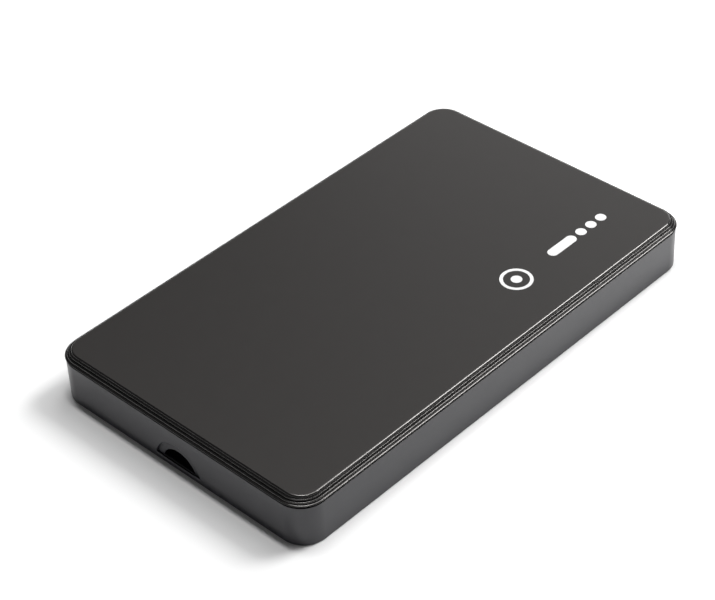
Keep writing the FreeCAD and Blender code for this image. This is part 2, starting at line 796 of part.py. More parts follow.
def sata_socket():
    """Socket body with two keyed slots that take the drive's blades."""
    body = block(
        SOCKET_X0, SOCKET_X1, PLUG_Y - SOCKET_HALF, PLUG_Y + SOCKET_HALF, BOARD_Z1, BOARD_Z1 + SOCKET_H
    )
    return body.cut(keyed_blades(SOCKET_PLAY, SOCKET_X0, TONGUE_X1 + SOCKET_PLAY))


save("drive_connector", drive_connector())
save("drive_contacts", drive_contacts())
save("sata_socket", sata_socket())


# Cast base of the drive

def lid_screw_places():
    """Plan positions of the drive lid's six screws."""
    places = []
    for x in (DRIVE_X0 + LUG_INSET, SPINDLE_X + MID_LUG_X, DRIVE_X1 - LUG_INSET):
        for side in (-1, 1):
            places.append((x, side * LUG_Y))
    return places


def board_hold_places():
    """Plan positions of the drive board's four screws."""
    return [(x, side * BOARD_HOLD_Y) for x in BOARD_HOLD_X for side in (-1, 1)]


def mount_holes():
    """Standard threaded holes in the underside and the two long sides."""
    holes = []
    for back in (MOUNT_NEAR, MOUNT_FAR):
        x = DRIVE_X1 - back
        for side in (-1, 1):
            holes.append(few_sided(x, side * MOUNT_Y, DRIVE_Z0, DRIVE_Z0 + MOUNT_DEPTH, MOUNT_R))
            across = few_sided(0, 0, 0, MOUNT_SIDE_DEPTH, MOUNT_R)
            across.rotate(ORIGIN, Vector(1, 0, 0), side * 90)
            across.translate(Vector(x, side * DRIVE_Y, DRIVE_Z0 + MOUNT_SIDE_Z))
            holes.append(across)
    return holes


def drive_base():
    """Cast base: disc well, arm cavity with lugs, plug bay, board bay below and threaded holes."""
    body = drive_slab(0, DRIVE_Z0, BASE_TOP_Z)
    cavity = block(SPINDLE_X, CAVITY_X1, -CAVITY_Y, CAVITY_Y, DECK_Z, BASE_TOP_Z)
    boss_x = DRIVE_X1 - MOUNT_NEAR + MOUNT_R
    boss_y = MOUNT_Y + MOUNT_R
    for side in (-1, 1):
        lug = few_sided(SPINDLE_X + MID_LUG_X, side * LUG_Y, DECK_Z, BASE_TOP_Z, LUG_R)
        boss = pad(boss_x, side * boss_y, DECK_Z, CORNER_BOSS_L, CORNER_BOSS_W, BASE_TOP_Z - DECK_Z)
        cavity = cavity.cut([lug, boss])
    well = disc(SPINDLE_X, 0, WELL_Z, BASE_TOP_Z, WELL_R)
    plug_bay = block(
        PLUG_BAY_X, DRIVE_X1, PLUG_Y - PLUG_BAY_HALF, PLUG_Y + PLUG_BAY_HALF, DRIVE_Z0, BASE_TOP_Z
    )
    board_bay = block(
        BOARD_BAY_X0, DRIVE_X1, -BOARD_BAY_W / 2, BOARD_BAY_W / 2, DRIVE_Z0, DECK_UNDER_Z
    )
    body = body.cut([cavity, well, plug_bay, board_bay])
    lugs = [few_sided(x, y, DRIVE_BOARD_Z1, DECK_Z, LUG_R) for x, y in board_hold_places()]
    body = body.fuse(lugs)
    pilots = []
    for x, y in lid_screw_places():
        pilots.append(few_sided(x, y, BASE_TOP_Z - SCREW_GRIP, BASE_TOP_Z, SCREW_R))
    for x, y in board_hold_places():
        pilots.append(few_sided(x, y, DRIVE_BOARD_Z1, BOARD_PILOT_Z, SCREW_R))
    sleeve_hole = disc(SPINDLE_X, 0, DRIVE_Z0, BASE_TOP_Z, SLEEVE_R)
    return body.cut([sleeve_hole] + pilots + mount_holes()).removeSplitter()


save("drive_base", drive_base())


# Lid, seal and screws of the drive

def drive_cover():
    """Pressed sheet lid with a raised round panel over the disc and six screw holes."""
    sheet = drive_slab(RIB_FIT, LID_Z, LID_TOP_Z)
    panel_r = PLATTER_R - 2 * LID_RISE
    raised = disc(SPINDLE_X, 0, LID_Z, DRIVE_Z1, panel_r)
    hollow = disc(SPINDLE_X, 0, LID_Z, DRIVE_Z1 - LID_SHEET, panel_r - LID_SHEET)
    holes = [few_sided(x, y, LID_Z, LID_TOP_Z, SCREW_R + SCREW_PLAY) for x, y in lid_screw_places()]
    return joined([sheet, raised]).cut([hollow] + holes)


def cover_gasket():
    """Flat seal that follows the walls of the base."""
    outer_x1 = PLUG_BAY_X - GASKET_INSET
    outer = rounded_slab(
        DRIVE_X0 + GASKET_INSET, outer_x1, GASKET_INSET - DRIVE_Y, DRIVE_Y - GASKET_INSET,
        BASE_TOP_Z, LID_Z, DRIVE_CORNER_R,
    )
    inset = GASKET_INSET + GASKET_W
    inner = rounded_slab(
        DRIVE_X0 + inset, outer_x1 - GASKET_W, inset - DRIVE_Y, DRIVE_Y - inset,
        BASE_TOP_Z, LID_Z, DRIVE_CORNER_R,
    )
    return outer.cut(inner)


save("drive_cover", drive_cover())
save("cover_gasket", cover_gasket())
LID_GRIP = LID_TOP_Z - BASE_TOP_Z + SCREW_GRIP
lid_screws = [screw(x, y, LID_TOP_Z, LID_GRIP, False) for x, y in lid_screw_places()]
save("cover_screws", Part.makeCompound(lid_screws))


# Spindle motor, disc and clamp

def spindle_hub():
    """Turned hub: boss inside the disc bore, and a cup under the disc that goes round the motor."""
    return turned(
        [
            (SHAFT_R, WEB_Z), (SHAFT_R, HUB_TOP_Z), (HUB_R, HUB_TOP_Z), (HUB_R, DISC_Z0),
            (HUB_FLANGE_R, DISC_Z0), (HUB_FLANGE_R, CUP_Z), (CUP_BORE_R, CUP_Z), (CUP_BORE_R, WEB_Z),
        ],
        SPINDLE_X, 0,
    )


def bearing_sleeve():
    """Fixed sleeve with a closed foot, pressed into the base and into the stator."""
    foot = DRIVE_Z0 + SLEEVE_BASE_T
    bore = SHAFT_R + SHAFT_FIT
    return turned(
        [
            (0, foot), (SLEEVE_R, foot), (SLEEVE_R, SLEEVE_TOP_Z), (bore, SLEEVE_TOP_Z),
            (bore, foot + SLEEVE_BASE_T), (0, foot + SLEEVE_BASE_T),
        ],
        SPINDLE_X, 0,
    )


def motor_stator():
    """Iron core: ring with a pattern of teeth that widen at the tip."""
    top = STATOR_Z + STATOR_T
    core_r = SLEEVE_R + CORE_W
    shapes = [disc(0, 0, STATOR_Z, top, core_r)]
    reach = STATOR_R * math.cos(math.radians(TIP_HALF_ANGLE))
    half_tip = STATOR_R * math.sin(math.radians(TIP_HALF_ANGLE))
    for number in range(TOOTH_COUNT):
        tooth = prism(
            [
                (0, -TOOTH_W / 2), (reach - TIP_W, -TOOTH_W / 2), (reach - TIP_W / 2, -half_tip),
                (reach, -half_tip), (reach, half_tip), (reach - TIP_W / 2, half_tip),
                (reach - TIP_W, TOOTH_W / 2), (0, TOOTH_W / 2),
            ],
            STATOR_Z, top,
        )
        tooth.rotate(ORIGIN, UP, number * 360 / TOOTH_COUNT)
        shapes.append(tooth)
    core = joined(shapes).cut(disc(0, 0, STATOR_Z, top, SLEEVE_R))
    core.translate(Vector(SPINDLE_X, 0, 0))
    return core


def motor_coils():
    """One winding round each tooth."""
    coils = []
    top = STATOR_Z + STATOR_T
    x0 = SLEEVE_R + CORE_W + COIL_PLAY
    x1 = STATOR_R * math.cos(math.radians(TIP_HALF_ANGLE)) - TIP_W - COIL_PLAY
    side = TOOTH_W / 2 + COIL_WIND
    rise = COIL_WIND / 2
    for number in range(TOOTH_COUNT):
        coil = block(x0, x1, -side, side, STATOR_Z - rise, top + rise)
        coil = coil.cut(block(x0, x1, -TOOTH_W / 2, TOOTH_W / 2, STATOR_Z, top))
        coil.rotate(ORIGIN, UP, number * 360 / TOOTH_COUNT)
        coil.translate(Vector(SPINDLE_X, 0, 0))
        coils.append(coil)
    return Part.makeCompound(coils)


def disc_clamp():
    """Spring washer that presses the disc onto the hub's cup."""
    washer = disc(SPINDLE_X, 0, DISC_Z1, CLAMP_TOP_Z, HUB_FLANGE_R)
    return washer.cut(few_sided(SPINDLE_X, 0, DISC_Z1, CLAMP_TOP_Z, SCREW_R))


def spindle_shaft():
    """Shaft that turns in the sleeve, drilled at the top for the clamp screw."""
    foot = DRIVE_Z0 + 2 * SLEEVE_BASE_T + SHAFT_FIT
    rod = disc(SPINDLE_X, 0, foot, HUB_TOP_Z, SHAFT_R)
    return rod.cut(few_sided(SPINDLE_X, 0, WEB_Z, HUB_TOP_Z, SCREW_R))


platter = disc(SPINDLE_X, 0, DISC_Z0, DISC_Z1, PLATTER_R)
save("platter", platter.cut(disc(SPINDLE_X, 0, DISC_Z0, DISC_Z1, PLATTER_BORE_D / 2)))
save("spindle_hub", spindle_hub())
save("spindle_shaft", spindle_shaft())
save("bearing_sleeve", bearing_sleeve())
save("motor_stator", motor_stator())
save("motor_coils", motor_coils())
rotor = disc(SPINDLE_X, 0, CUP_Z, WEB_Z, CUP_BORE_R)
save("rotor_magnet", rotor.cut(disc(SPINDLE_X, 0, CUP_Z, WEB_Z, ROTOR_BORE_R)))
save("disc_clamp", disc_clamp())
save("clamp_screw", screw(SPINDLE_X, 0, CLAMP_TOP_Z, CLAMP_TOP_Z - WEB_Z, False))


# Head arm, its coil, springs and heads

def arm_blade(z):
    """Tapered blade with a lightening hole."""
    blade = prism(
        [
            (0, -ARM_ROOT_HALF), (ARM_TIP_X, -ARM_TIP_HALF), (ARM_TIP_X, ARM_TIP_HALF),
            (0, ARM_ROOT_HALF),
        ],
        z, z + ARM_T,
    )
    return blade.cut(few_sided(ARM_TIP_X / 2, 0, z, z + ARM_T, ARM_TIP_HALF / 2))


def actuator_arm():
    """Hub with two blades over and under the disc, and two prongs that hold the coil."""
    hub = disc(0, 0, ARM_LOW_Z, ARM_TOP_Z, ARM_HUB_R)
    arm = on_arm(joined([hub, arm_blade(ARM_LOW_Z), arm_blade(ARM_UP_Z)]))
    prongs = []
    for a0 in (COIL_AXIS - COIL_FRAME, COIL_AXIS + COIL_HALF):
        prongs.append(sector(BEARING_R, PRONG_OUT, a0, a0 + PRONG_ANGLE, COIL_Z0, COIL_Z1))
    bore = disc(PIVOT_X, PIVOT_Y, ARM_LOW_Z, ARM_TOP_Z, BEARING_R)
    return joined([arm] + prongs).cut(bore)


def voice_coil():
    """Flat wound loop between the prongs."""
    outer = sector(COIL_IN, COIL_OUT, COIL_AXIS - COIL_HALF, COIL_AXIS + COIL_HALF, COIL_Z0, COIL_Z1)
    hole_half = COIL_HALF / 2
    hole = sector(
        COIL_IN + COIL_BAND, COIL_OUT - COIL_BAND, COIL_AXIS - hole_half, COIL_AXIS + hole_half,
        COIL_Z0, COIL_Z1,
    )
    return outer.cut(hole)


def head_spring(z):
    """Thin tapered leaf from the blade's tip to the head, ending in a lift tab."""
    start = ARM_TIP_X - SPRING_LAP
    tip = ARM_REACH + HEAD_L / 2
    return on_arm(
        prism(
            [
                (start, -ARM_TIP_HALF), (ARM_TIP_X, -ARM_TIP_HALF), (tip, -2 * TAB_HALF), (tip, -TAB_HALF),
                (ARM_REACH + TAB_L, -TAB_HALF), (ARM_REACH + TAB_L, TAB_HALF), (tip, TAB_HALF),
                (tip, 2 * TAB_HALF), (ARM_TIP_X, ARM_TIP_HALF), (start, ARM_TIP_HALF),
            ],
            z, z + SPRING_T,
        )
    )


def head_slider(z):
    """Small block that carries the head."""
    return on_arm(pad(ARM_REACH, 0, z, HEAD_L, HEAD_W, HEAD_T))


save("actuator_arm", actuator_arm())
save("voice_coil", voice_coil())
save("head_suspensions", Part.makeCompound([head_spring(SPRING_LOW_Z), head_spring(SPRING_UP_Z)]))
save("head_sliders", Part.makeCompound([head_slider(HEAD_LOW_Z), head_slider(HEAD_UP_Z)]))
save("pivot_post", disc(PIVOT_X, PIVOT_Y, DECK_Z, ARM_TOP_Z, POST_R))
bearing = disc(PIVOT_X, PIVOT_Y, ARM_LOW_Z, ARM_TOP_Z, BEARING_R)
save("pivot_bearing", bearing.cut(disc(PIVOT_X, PIVOT_Y, ARM_LOW_Z, ARM_TOP_Z, POST_R + PIVOT_FIT)))


# Magnets and yokes over and under the coil

def magnet(z):
    """Curved flat magnet."""
    return sector(
        YOKE_IN + MAGNET_INSET, YOKE_OUT - MAGNET_INSET, YOKE_A0 + MAGNET_MARGIN, YOKE_A1 - MAGNET_MARGIN,
        z, z + MAGNET_T,
    )


def yoke_post(angle):
    """Pillar between the two yokes, outside the coil's swing."""
    x = PIVOT_X + YOKE_POST_AT * math.cos(math.radians(angle))
    y = PIVOT_Y + YOKE_POST_AT * math.sin(math.radians(angle))
    return few_sided(x, y, LOWER_YOKE_TOP_Z, UPPER_YOKE_Z, YOKE_POST_R)


save("lower_yoke", sector(YOKE_IN, YOKE_OUT, YOKE_A0, YOKE_A1, DECK_Z, LOWER_YOKE_TOP_Z))
save("upper_yoke", sector(YOKE_IN, YOKE_OUT, YOKE_A0, YOKE_A1, UPPER_YOKE_Z, UPPER_YOKE_Z + YOKE_T))
save("lower_magnet", magnet(LOWER_MAGNET_Z))
save("upper_magnet", magnet(UPPER_MAGNET_Z))
save("yoke_posts", Part.makeCompound([yoke_post(YOKE_A0 + POST_MARGIN), yoke_post(YOKE_A1 - POST_MARGIN)]))


# Ramp, flexible circuit and filters

def parking_ramp():
    """Shelf between the lift tabs at park, on a foot outside the disc."""
    a0 = PARK_ANGLE - RAMP_BACK
    a1 = PARK_ANGLE + RAMP_AHEAD
    shelf_in = ARM_REACH + RAMP_START
    shelf_out = shelf_in + RAMP_W
    low = SPRING_LOW_Z + SPRING_T + RAMP_PLAY
    high = SPRING_UP_Z - RAMP_PLAY
    shelf = sector(shelf_in, shelf_out + RAMP_FOOT / 2, a0, a1, low, high)
    foot = sector(shelf_out, shelf_out + RAMP_FOOT, a0, a1, DECK_Z, high)
    return joined([shelf, foot]).cut(disc(SPINDLE_X, 0, WELL_Z, LID_Z, WELL_R + RAMP_DISC_GAP))


def flex_circuit():
    """Thin upright strip that curls round the arm's hub and runs out to its connector."""
    z0 = DECK_Z + FLEX_BASE_LIFT
    curl = sector(FLEX_R, FLEX_R + FLEX_T, FLEX_FROM, FLEX_TO, z0, z0 + FLEX_H)
    tail = block(FLEX_R, FLEX_TAIL, -FLEX_T, 0, z0, z0 + FLEX_H)
    tail.rotate(ORIGIN, UP, FLEX_TO)
    tail.translate(Vector(PIVOT_X, PIVOT_Y, 0))
    return joined([curl, tail])


def flex_connector():
    """Block on the deck that takes the end of the flexible circuit."""
    body = block(
        FLEX_TAIL, FLEX_TAIL + FLEX_BLOCK_L, -FLEX_BLOCK_W / 2, FLEX_BLOCK_W / 2,
        DECK_Z, DECK_Z + FLEX_BASE_LIFT + FLEX_H,
    )
    body.rotate(ORIGIN, UP, FLEX_TO)
    body.translate(Vector(PIVOT_X, PIVOT_Y, 0))
    return body


save("parking_ramp", parking_ramp())
save("flex_circuit", flex_circuit())
save("flex_connector", flex_connector())
FILTER_X = SPINDLE_X + MID_LUG_X + LUG_R + FILTER_L
save("dust_filter", pad(FILTER_X, FILTER_W / 2 - CAVITY_Y, DECK_Z, FILTER_L, FILTER_W, FILTER_H))
BREATHER_X = CAVITY_X1 - BREATHER_L
BREATHER_Y = CAVITY_Y - BREATHER_L - LUG_R
save(
    "breather_filter",
    pad(BREATHER_X, BREATHER_Y, LID_Z - BREATHER_T, BREATHER_L, BREATHER_L, BREATHER_T),
)


# Drive board and its chips

def drive_board():
    """Board under the deck with four screw holes."""
    board = block(
        DRIVE_BOARD_X0, DRIVE_BOARD_X1, -DRIVE_BOARD_Y, DRIVE_BOARD_Y, DRIVE_BOARD_Z0, DRIVE_BOARD_Z1
    )
    holes = []
    for x, y in board_hold_places():
        holes.append(few_sided(x, y, DRIVE_BOARD_Z0, DRIVE_BOARD_Z1, SCREW_R + SCREW_PLAY))
    return board.cut(holes)


DRIVE_CHIP_X = (DRIVE_BOARD_X0 + CAVITY_X1) / 2
MEMORY_Y = -CONTROLLER - MEMORY_L / 2
DRIVER_Y = CONTROLLER + DRIVER / 2
BOARD_GRIP = BOARD_PILOT_Z - DRIVE_BOARD_Z0
board_screws = [screw(x, y, DRIVE_BOARD_Z0, BOARD_GRIP, True) for x, y in board_hold_places()]
save("drive_board", drive_board())
save("controller_chip", pad(DRIVE_CHIP_X, 0, DRIVE_BOARD_Z1, CONTROLLER, CONTROLLER, DRIVE_CHIP_H))
save("memory_chip", pad(DRIVE_CHIP_X, MEMORY_Y, DRIVE_BOARD_Z1, MEMORY_W, MEMORY_L, DRIVE_CHIP_H))
save("motor_driver", pad(DRIVE_CHIP_X, DRIVER_Y, DRIVE_BOARD_Z1, DRIVER, DRIVER, DRIVE_CHIP_H))
save("board_screws", Part.makeCompound(board_screws))
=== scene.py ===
import json
import math

import bmesh
import bpy
import numpy as np
from mathutils import Matrix, Vector

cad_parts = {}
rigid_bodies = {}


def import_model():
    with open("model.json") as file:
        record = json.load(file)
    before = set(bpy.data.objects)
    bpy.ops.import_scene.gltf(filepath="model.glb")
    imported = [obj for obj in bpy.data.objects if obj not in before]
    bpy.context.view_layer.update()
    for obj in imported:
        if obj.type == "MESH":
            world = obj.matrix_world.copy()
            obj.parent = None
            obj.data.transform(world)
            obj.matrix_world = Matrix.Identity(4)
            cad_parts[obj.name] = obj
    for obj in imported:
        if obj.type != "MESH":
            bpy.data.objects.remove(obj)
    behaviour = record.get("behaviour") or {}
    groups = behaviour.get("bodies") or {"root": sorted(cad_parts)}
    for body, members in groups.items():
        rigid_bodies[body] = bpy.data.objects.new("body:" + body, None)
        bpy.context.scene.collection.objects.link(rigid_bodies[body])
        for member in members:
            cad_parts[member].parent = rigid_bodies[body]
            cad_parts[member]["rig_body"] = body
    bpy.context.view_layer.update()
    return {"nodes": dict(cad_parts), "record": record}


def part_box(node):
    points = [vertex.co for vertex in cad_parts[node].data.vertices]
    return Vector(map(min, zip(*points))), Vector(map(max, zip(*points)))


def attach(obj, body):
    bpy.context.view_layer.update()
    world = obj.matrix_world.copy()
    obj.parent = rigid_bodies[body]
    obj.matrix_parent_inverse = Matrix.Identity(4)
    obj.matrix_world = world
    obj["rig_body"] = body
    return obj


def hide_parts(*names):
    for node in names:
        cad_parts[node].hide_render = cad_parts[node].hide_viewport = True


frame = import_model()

bl_info = {
    "name": "External Disc Drive",
    "version": (1, 0, 0),
    "blender": (4, 5, 0),
    "location": "3D View > Sidebar > Disc Drive",
    "description": "Dresses the packed disc drive with its case, print, port, inner parts and stage",
    "category": "Object",
}

# Lengths are in metres, in the frame's own axes: X towards the port end, Y across, Z up
MM = 0.001
LID_LOW, LID_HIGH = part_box("top_cover")
TRAY_LOW, TRAY_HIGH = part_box("bottom_case")
DRIVE_LOW, DRIVE_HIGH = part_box("drive_base")
BOARD_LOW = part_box("bridge_board")[0]
DISC_LOW, DISC_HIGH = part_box("platter")
PORT_LOW, PORT_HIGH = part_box("usb_shell")
GUIDE_LOW, GUIDE_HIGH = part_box("light_guide")
FLOOR_TOP = DRIVE_LOW.z
RIM_Z = TRAY_HIGH.z
PRINT_DROP = 0.02 * MM
PLATE_Z = LID_HIGH.z - PRINT_DROP


# Properties

def length(name, description, default):
    """A size that a user may change, given in millimetres and kept in metres."""
    return bpy.props.FloatProperty(
        name=name, description=description, default=default * MM, unit="LENGTH", precision=5
    )


def angle(name, description, default):
    """An angle that is given in degrees and kept in radians."""
    return bpy.props.FloatProperty(
        name=name, description=description, default=math.radians(default), unit="ROTATION"
    )


def tint(name, description, default):
    """A linear colour that a user may change."""
    return bpy.props.FloatVectorProperty(
        name=name, description=description, default=default, min=0.0, max=1.0, size=3, subtype="COLOR"
    )


def power(name, description, default):
    """Output of a lamp in watts."""
    return bpy.props.FloatProperty(
        name=name, description=description, default=default, min=0.0, unit="POWER"
    )


class CaseSizes(bpy.types.PropertyGroup):
    """Sizes of the lid and the tray."""

    corner_radius: length("Corner radius", "Radius of the tray's corners in plan", 6.0)
    step_run: length("Step run", "Width of each step of the lid's rim", 0.49)
    step_rise: length("Step rise", "Height of each step of the lid's rim", 0.46)
    plate_round: length("Plate rounding", "Height of the rounding along the plate's edge", 0.36)
    plate_reach: length("Plate reach", "Width of the rounding along the plate's edge", 0.6)
    upper_round: length("Upper rounding", "Rounding of the upper step", 0.13)
    lower_round: length("Lower rounding", "Rounding of the lower step", 0.24)
    bead_round: length("Bead rounding", "Height of the rounding along the outer bead", 0.23)
    bead_reach: length("Bead reach", "Width of the rounding along the outer bead", 0.47)
    bead_bevel: length("Bead bevel", "Bevel along the underside of the outer bead", 0.06)
    skirt: length("Skirt", "Thickness of the strips under the lid", 1.0)
    skirt_gap: length("Skirt gap", "Gap between those strips and the walls", 0.1)
    clip_radius: length("Clip radius", "Radius of the beads that snap into the walls", 0.3)
    clip_length: length("Clip length", "Length of those beads", 8.0)
    clip_drop: length("Clip drop", "Depth of those beads below the rim", 1.2)
    clip_from_end: length("Clip from end", "Distance of the outer beads from the ends", 27.7)
    clip_from_side: length("Clip from side", "Distance of the end beads from the sides", 16.5)
    wall: length("Wall", "Thickness of the tray's walls", 1.5)
    foot_round: length("Foot rounding", "Rounding under the tray's walls", 0.3)
    seam: length("Seam", "Height of the shadow gap under the lid", 0.5)
    tongue: length("Tongue", "Thickness of the tongue inside the shadow gap", 0.75)
    wall_round: length("Wall rounding", "Rounding along the top of the tray's walls", 0.05)
    rib: length("Rib", "Thickness of the ribs that hold the drive", 1.2)
    rib_height: length("Rib height", "Height of those ribs above the floor", 5.0)
    rib_from_end: length("Rib from end", "Distance of the outer ribs from the drive's ends", 15.0)
    rib_fit: length("Rib fit", "Gap between those ribs and the drive", 0.15)
    boss_radius: length("Boss radius", "Radius of the two board bosses", 2.2)


class OpeningSizes(bpy.types.PropertyGroup):
    """Sizes of the finger slot, the port opening and the light."""

    slot_y: length("Slot place", "Distance of the slot from the middle of the end wall", -0.5)
    slot_top: length("Slot top", "Height of the slot's crown", 6.67)
    slot_radius: length("Slot radius", "Radius of the slot's arc", 6.75)
    slot_band: length("Slot band", "Width of the shallow band round the slot", 1.75)
    slot_step: length("Slot step", "Depth of the shallow band", 0.5)
    slot_sill: length("Slot sill", "Height of the slot's flat sill", 1.5)
    sill_depth: length("Sill depth", "Thickness of the sill behind the band", 0.4)
    sill_relief: length("Sill relief", "Height of the relief behind the sill", 1.4)
    band_round: length("Band rounding", "Rounding where the shallow band meets the wall", 0.3)
    lip_round: length("Lip rounding", "Edge of the slot's inner opening and of the port", 0.12)
    port_play: length("Port play", "Gap between the port and its opening", 0.25)
    port_main: length("Port main width", "Width of the port's higher bay", 8.0)
    port_side: length("Port side height", "Height of the port's lower bay", 2.35)
    port_bevel: length("Port bevel", "Bevel of the port's upper corners", 0.8)
    guide_collar: length("Guide collar", "Width of the collar round the light rod", 0.5)
    guide_play: length("Guide play", "Gap between the light rod and its opening", 0.08)


class MarkSizes(bpy.types.PropertyGroup):
    """Sizes and places of the two printed marks."""

    ring_x: length("Ring place", "Place of the disc mark along the case", 19.9)
    marks_y: length("Marks place", "Place of both marks across the case", -22.8)
    ring_size: length("Ring size", "Radius of the disc mark", 3.8)
    ring_line: length("Ring line", "Width of the disc mark's outer line", 0.8)
    hub_size: length("Hub size", "Radius of the disc mark's middle", 1.3)
    bar_x: length("Bar place", "Start of the bar mark along the case", 31.4)
    bar_length: length("Bar length", "Length of the bar", 9.0)
    bar_width: length("Bar width", "Width of the bar and of the dots", 2.6)
    dot_pitch: length("Dot pitch", "Distance from one dot to the next", 3.6)
    ink_depth: length("Ink depth", "Thickness of the ink", 0.015)


class ContactSizes(bpy.types.PropertyGroup):
    """Sizes of the contacts in the port."""

    width: length("Contact width", "Width of each contact", 0.35)
    depth: length("Contact depth", "Thickness of each contact", 0.05)
    reach: length("Contact reach", "Length of each contact", 4.2)
    back: length("Contact setback", "Distance of the contacts from the blades' tips", 0.6)
    wide_pitch: length("Wide pitch", "Pitch of the contacts on the wide blade", 1.0)
    close_pitch: length("Close pitch", "Pitch of the contacts on the narrow blade", 0.43)
    blade: length("Blade", "Thickness of the blades", 0.6)
    margin: length("Blade margin", "Distance of the blades from the shell's sides", 1.1)
    sheet: length("Sheet", "Thickness of the shell", 0.3)


class ScrewSizes(bpy.types.PropertyGroup):
    """Sizes shared by all the small screws."""

    head: length("Head", "Radius of the head", 1.6)
    head_height: length("Head height", "Height of the head", 0.4)
    shank: length("Shank", "Radius of the shank", 0.8)
    recess: length("Recess", "Mean radius of the six-lobed recess", 0.75)
    recess_depth: length("Recess depth", "Depth of that recess", 0.28)
    edge: length("Edge", "Bevel round the head", 0.1)
    middle_lug: length("Middle lug", "Distance of the drive lid's middle screws from the spindle", 24.0)


class CaseColours(bpy.types.PropertyGroup):
    """Colours of the pieces that show."""

    plate: tint("Plate", "Matt top of the lid", (0.0095, 0.0085, 0.008))
    rim: tint("Rim", "Polished steps of the lid", (0.006, 0.006, 0.006))
    tray: tint("Tray", "Satin walls of the tray", (0.0085, 0.008, 0.0125))
    ink: tint("Ink", "Printed marks on the lid", (0.82, 0.82, 0.82))


class StageSettings(bpy.types.PropertyGroup):
    """Camera, lamps and floor."""

    azimuth: angle("Azimuth", "Turn of the camera about the object", -45.0)
    elevation: angle("Elevation", "Height of the camera above the floor, as an angle", 38.855)
    roll: angle("Roll", "Turn of the camera about its own line of sight", -2.852)
    distance: length("Distance", "Distance from the camera to its aim", 472.35)
    aim_right: length("Aim right", "Shift of the object to the right in the picture", 5.406)
    aim_down: length("Aim down", "Shift of the object downwards in the picture", 5.327)
    focal_length: length("Focal length", "Lens on a 36 mm wide sensor", 105.446)
    floor: tint("Floor", "White floor", (0.92, 0.92, 0.92))
    key_power: power("Key lamp", "Lamp at the right, in front of the port end", 43.0)
    soft_power: power("Soft lamp", "Wide lamp between the key lamp and the top lamp", 13.0)
    top_power: power("Top lamp", "Lamp overhead, a little to the right", 25.0)
    side_power: power("Side lamp", "Low lamp close to the port end", 0.2)


# Surfaces as arrays of points

def rounded_loop(low, high, radius, steps=24):
    """Rounded rectangle between two corners in plan.

    Each corner is a quarter turn of a direction about that corner's own centre; the sides are the straight
    runs from one corner to the next. A point of the loop is its centre plus the radius times its direction.
    """
    low = np.array(low[:2], float)
    high = np.array(high[:2], float)
    quarter = np.linspace(0.0, 0.5 * np.pi, steps + 1)
    turns = np.arange(4)[:, None] * 0.5 * np.pi + quarter
    directions = np.stack([np.cos(turns), np.sin(turns)], axis=-1).reshape(-1, 2)
    signs = np.array([(1, 1), (-1, 1), (-1, -1), (1, -1)], float)
    spread = 0.5 * (high - low) - radius
    centres = np.repeat(signs * spread, steps + 1, axis=0)
    return {"middle": 0.5 * (low + high), "centres": centres, "directions": directions, "radius": radius}


def carried(loop, profile):
    """Profile carried round a loop.

    A point is its centre plus its direction times the radius less the inset, at the profile's height.
    """
    reach = loop["radius"] - profile[:, 0, None, None]
    plan = loop["middle"] + loop["centres"][None] + reach * loop["directions"][None]
    height = np.broadcast_to(profile[:, 1, None, None], plan.shape[:2] + (1,))
    return np.concatenate([plan, height], axis=2)


def drawn_in(loop, height):
    """Row of points with each one drawn in onto the loop's long middle line."""
    size = np.abs(loop["centres"])
    line = np.sign(loop["centres"]) * (size - size.min(axis=1, keepdims=True))
    plan = loop["middle"] + line
    return np.concatenate([plan, np.full((len(plan), 1), height)], axis=1)[None]


def rounded_edge(inset, height, reach, drop, steps=8):
    """Quarter ellipse over an outer edge: from flat on top, at the height, round to upright at the inset.

    The inset falls by the reach with the sine of the turn, and the height by the drop with its cosine.
    """
    turn = np.linspace(0.0, 0.5 * np.pi, steps + 1)
    return np.stack([inset + reach * (1 - np.sin(turn)), height - drop * (1 - np.cos(turn))], axis=1)


def wrapped_faces(rows, columns):
    """Quads of a grid whose columns run round and meet."""
    index = np.arange(rows * columns).reshape(rows, columns)
    after = np.roll(index, -1, axis=1)
    return np.stack([index[:-1], after[:-1], after[1:], index[1:]], axis=-1).reshape(-1, 4).tolist()


def grid_shape(points):
    """Vertices and faces of a grid of points that wraps round in its columns."""
    return points.reshape(-1, 3), wrapped_faces(*points.shape[:2])


def shell_shape(loop, profile):
    """Profile carried round a loop, and closed at both its ends by drawing the last row in."""
    first = drawn_in(loop, profile[0, 1])
    last = drawn_in(loop, profile[-1, 1])
    return grid_shape(np.concatenate([first, carried(loop, profile), last]))


def drawn_shape(outlines):
    """Closed solid through a stack of outlines: quads from each to the next, and a cap at either end."""
    rows, columns = outlines.shape[:2]
    points, faces = grid_shape(outlines)
    faces.append(list(range(columns)))
    faces.append(list(range((rows - 1) * columns, rows * columns)))
    return points, faces


def upright_shape(outline, levels):
    """Closed solid with one outline in plan, carried from level to level."""
    return drawn_shape(np.stack([np.column_stack([outline, np.full(len(outline), z)]) for z in levels]))


def box_shape(low, high):
    """Block between two corners, as a square outline carried from the low height to the high one."""
    x0, y0, z0 = np.minimum(low, high)
    x1, y1, z1 = np.maximum(low, high)
    return upright_shape(np.array([(x0, y0), (x1, y0), (x1, y1), (x0, y1)]), (z0, z1))


LOBES = 6


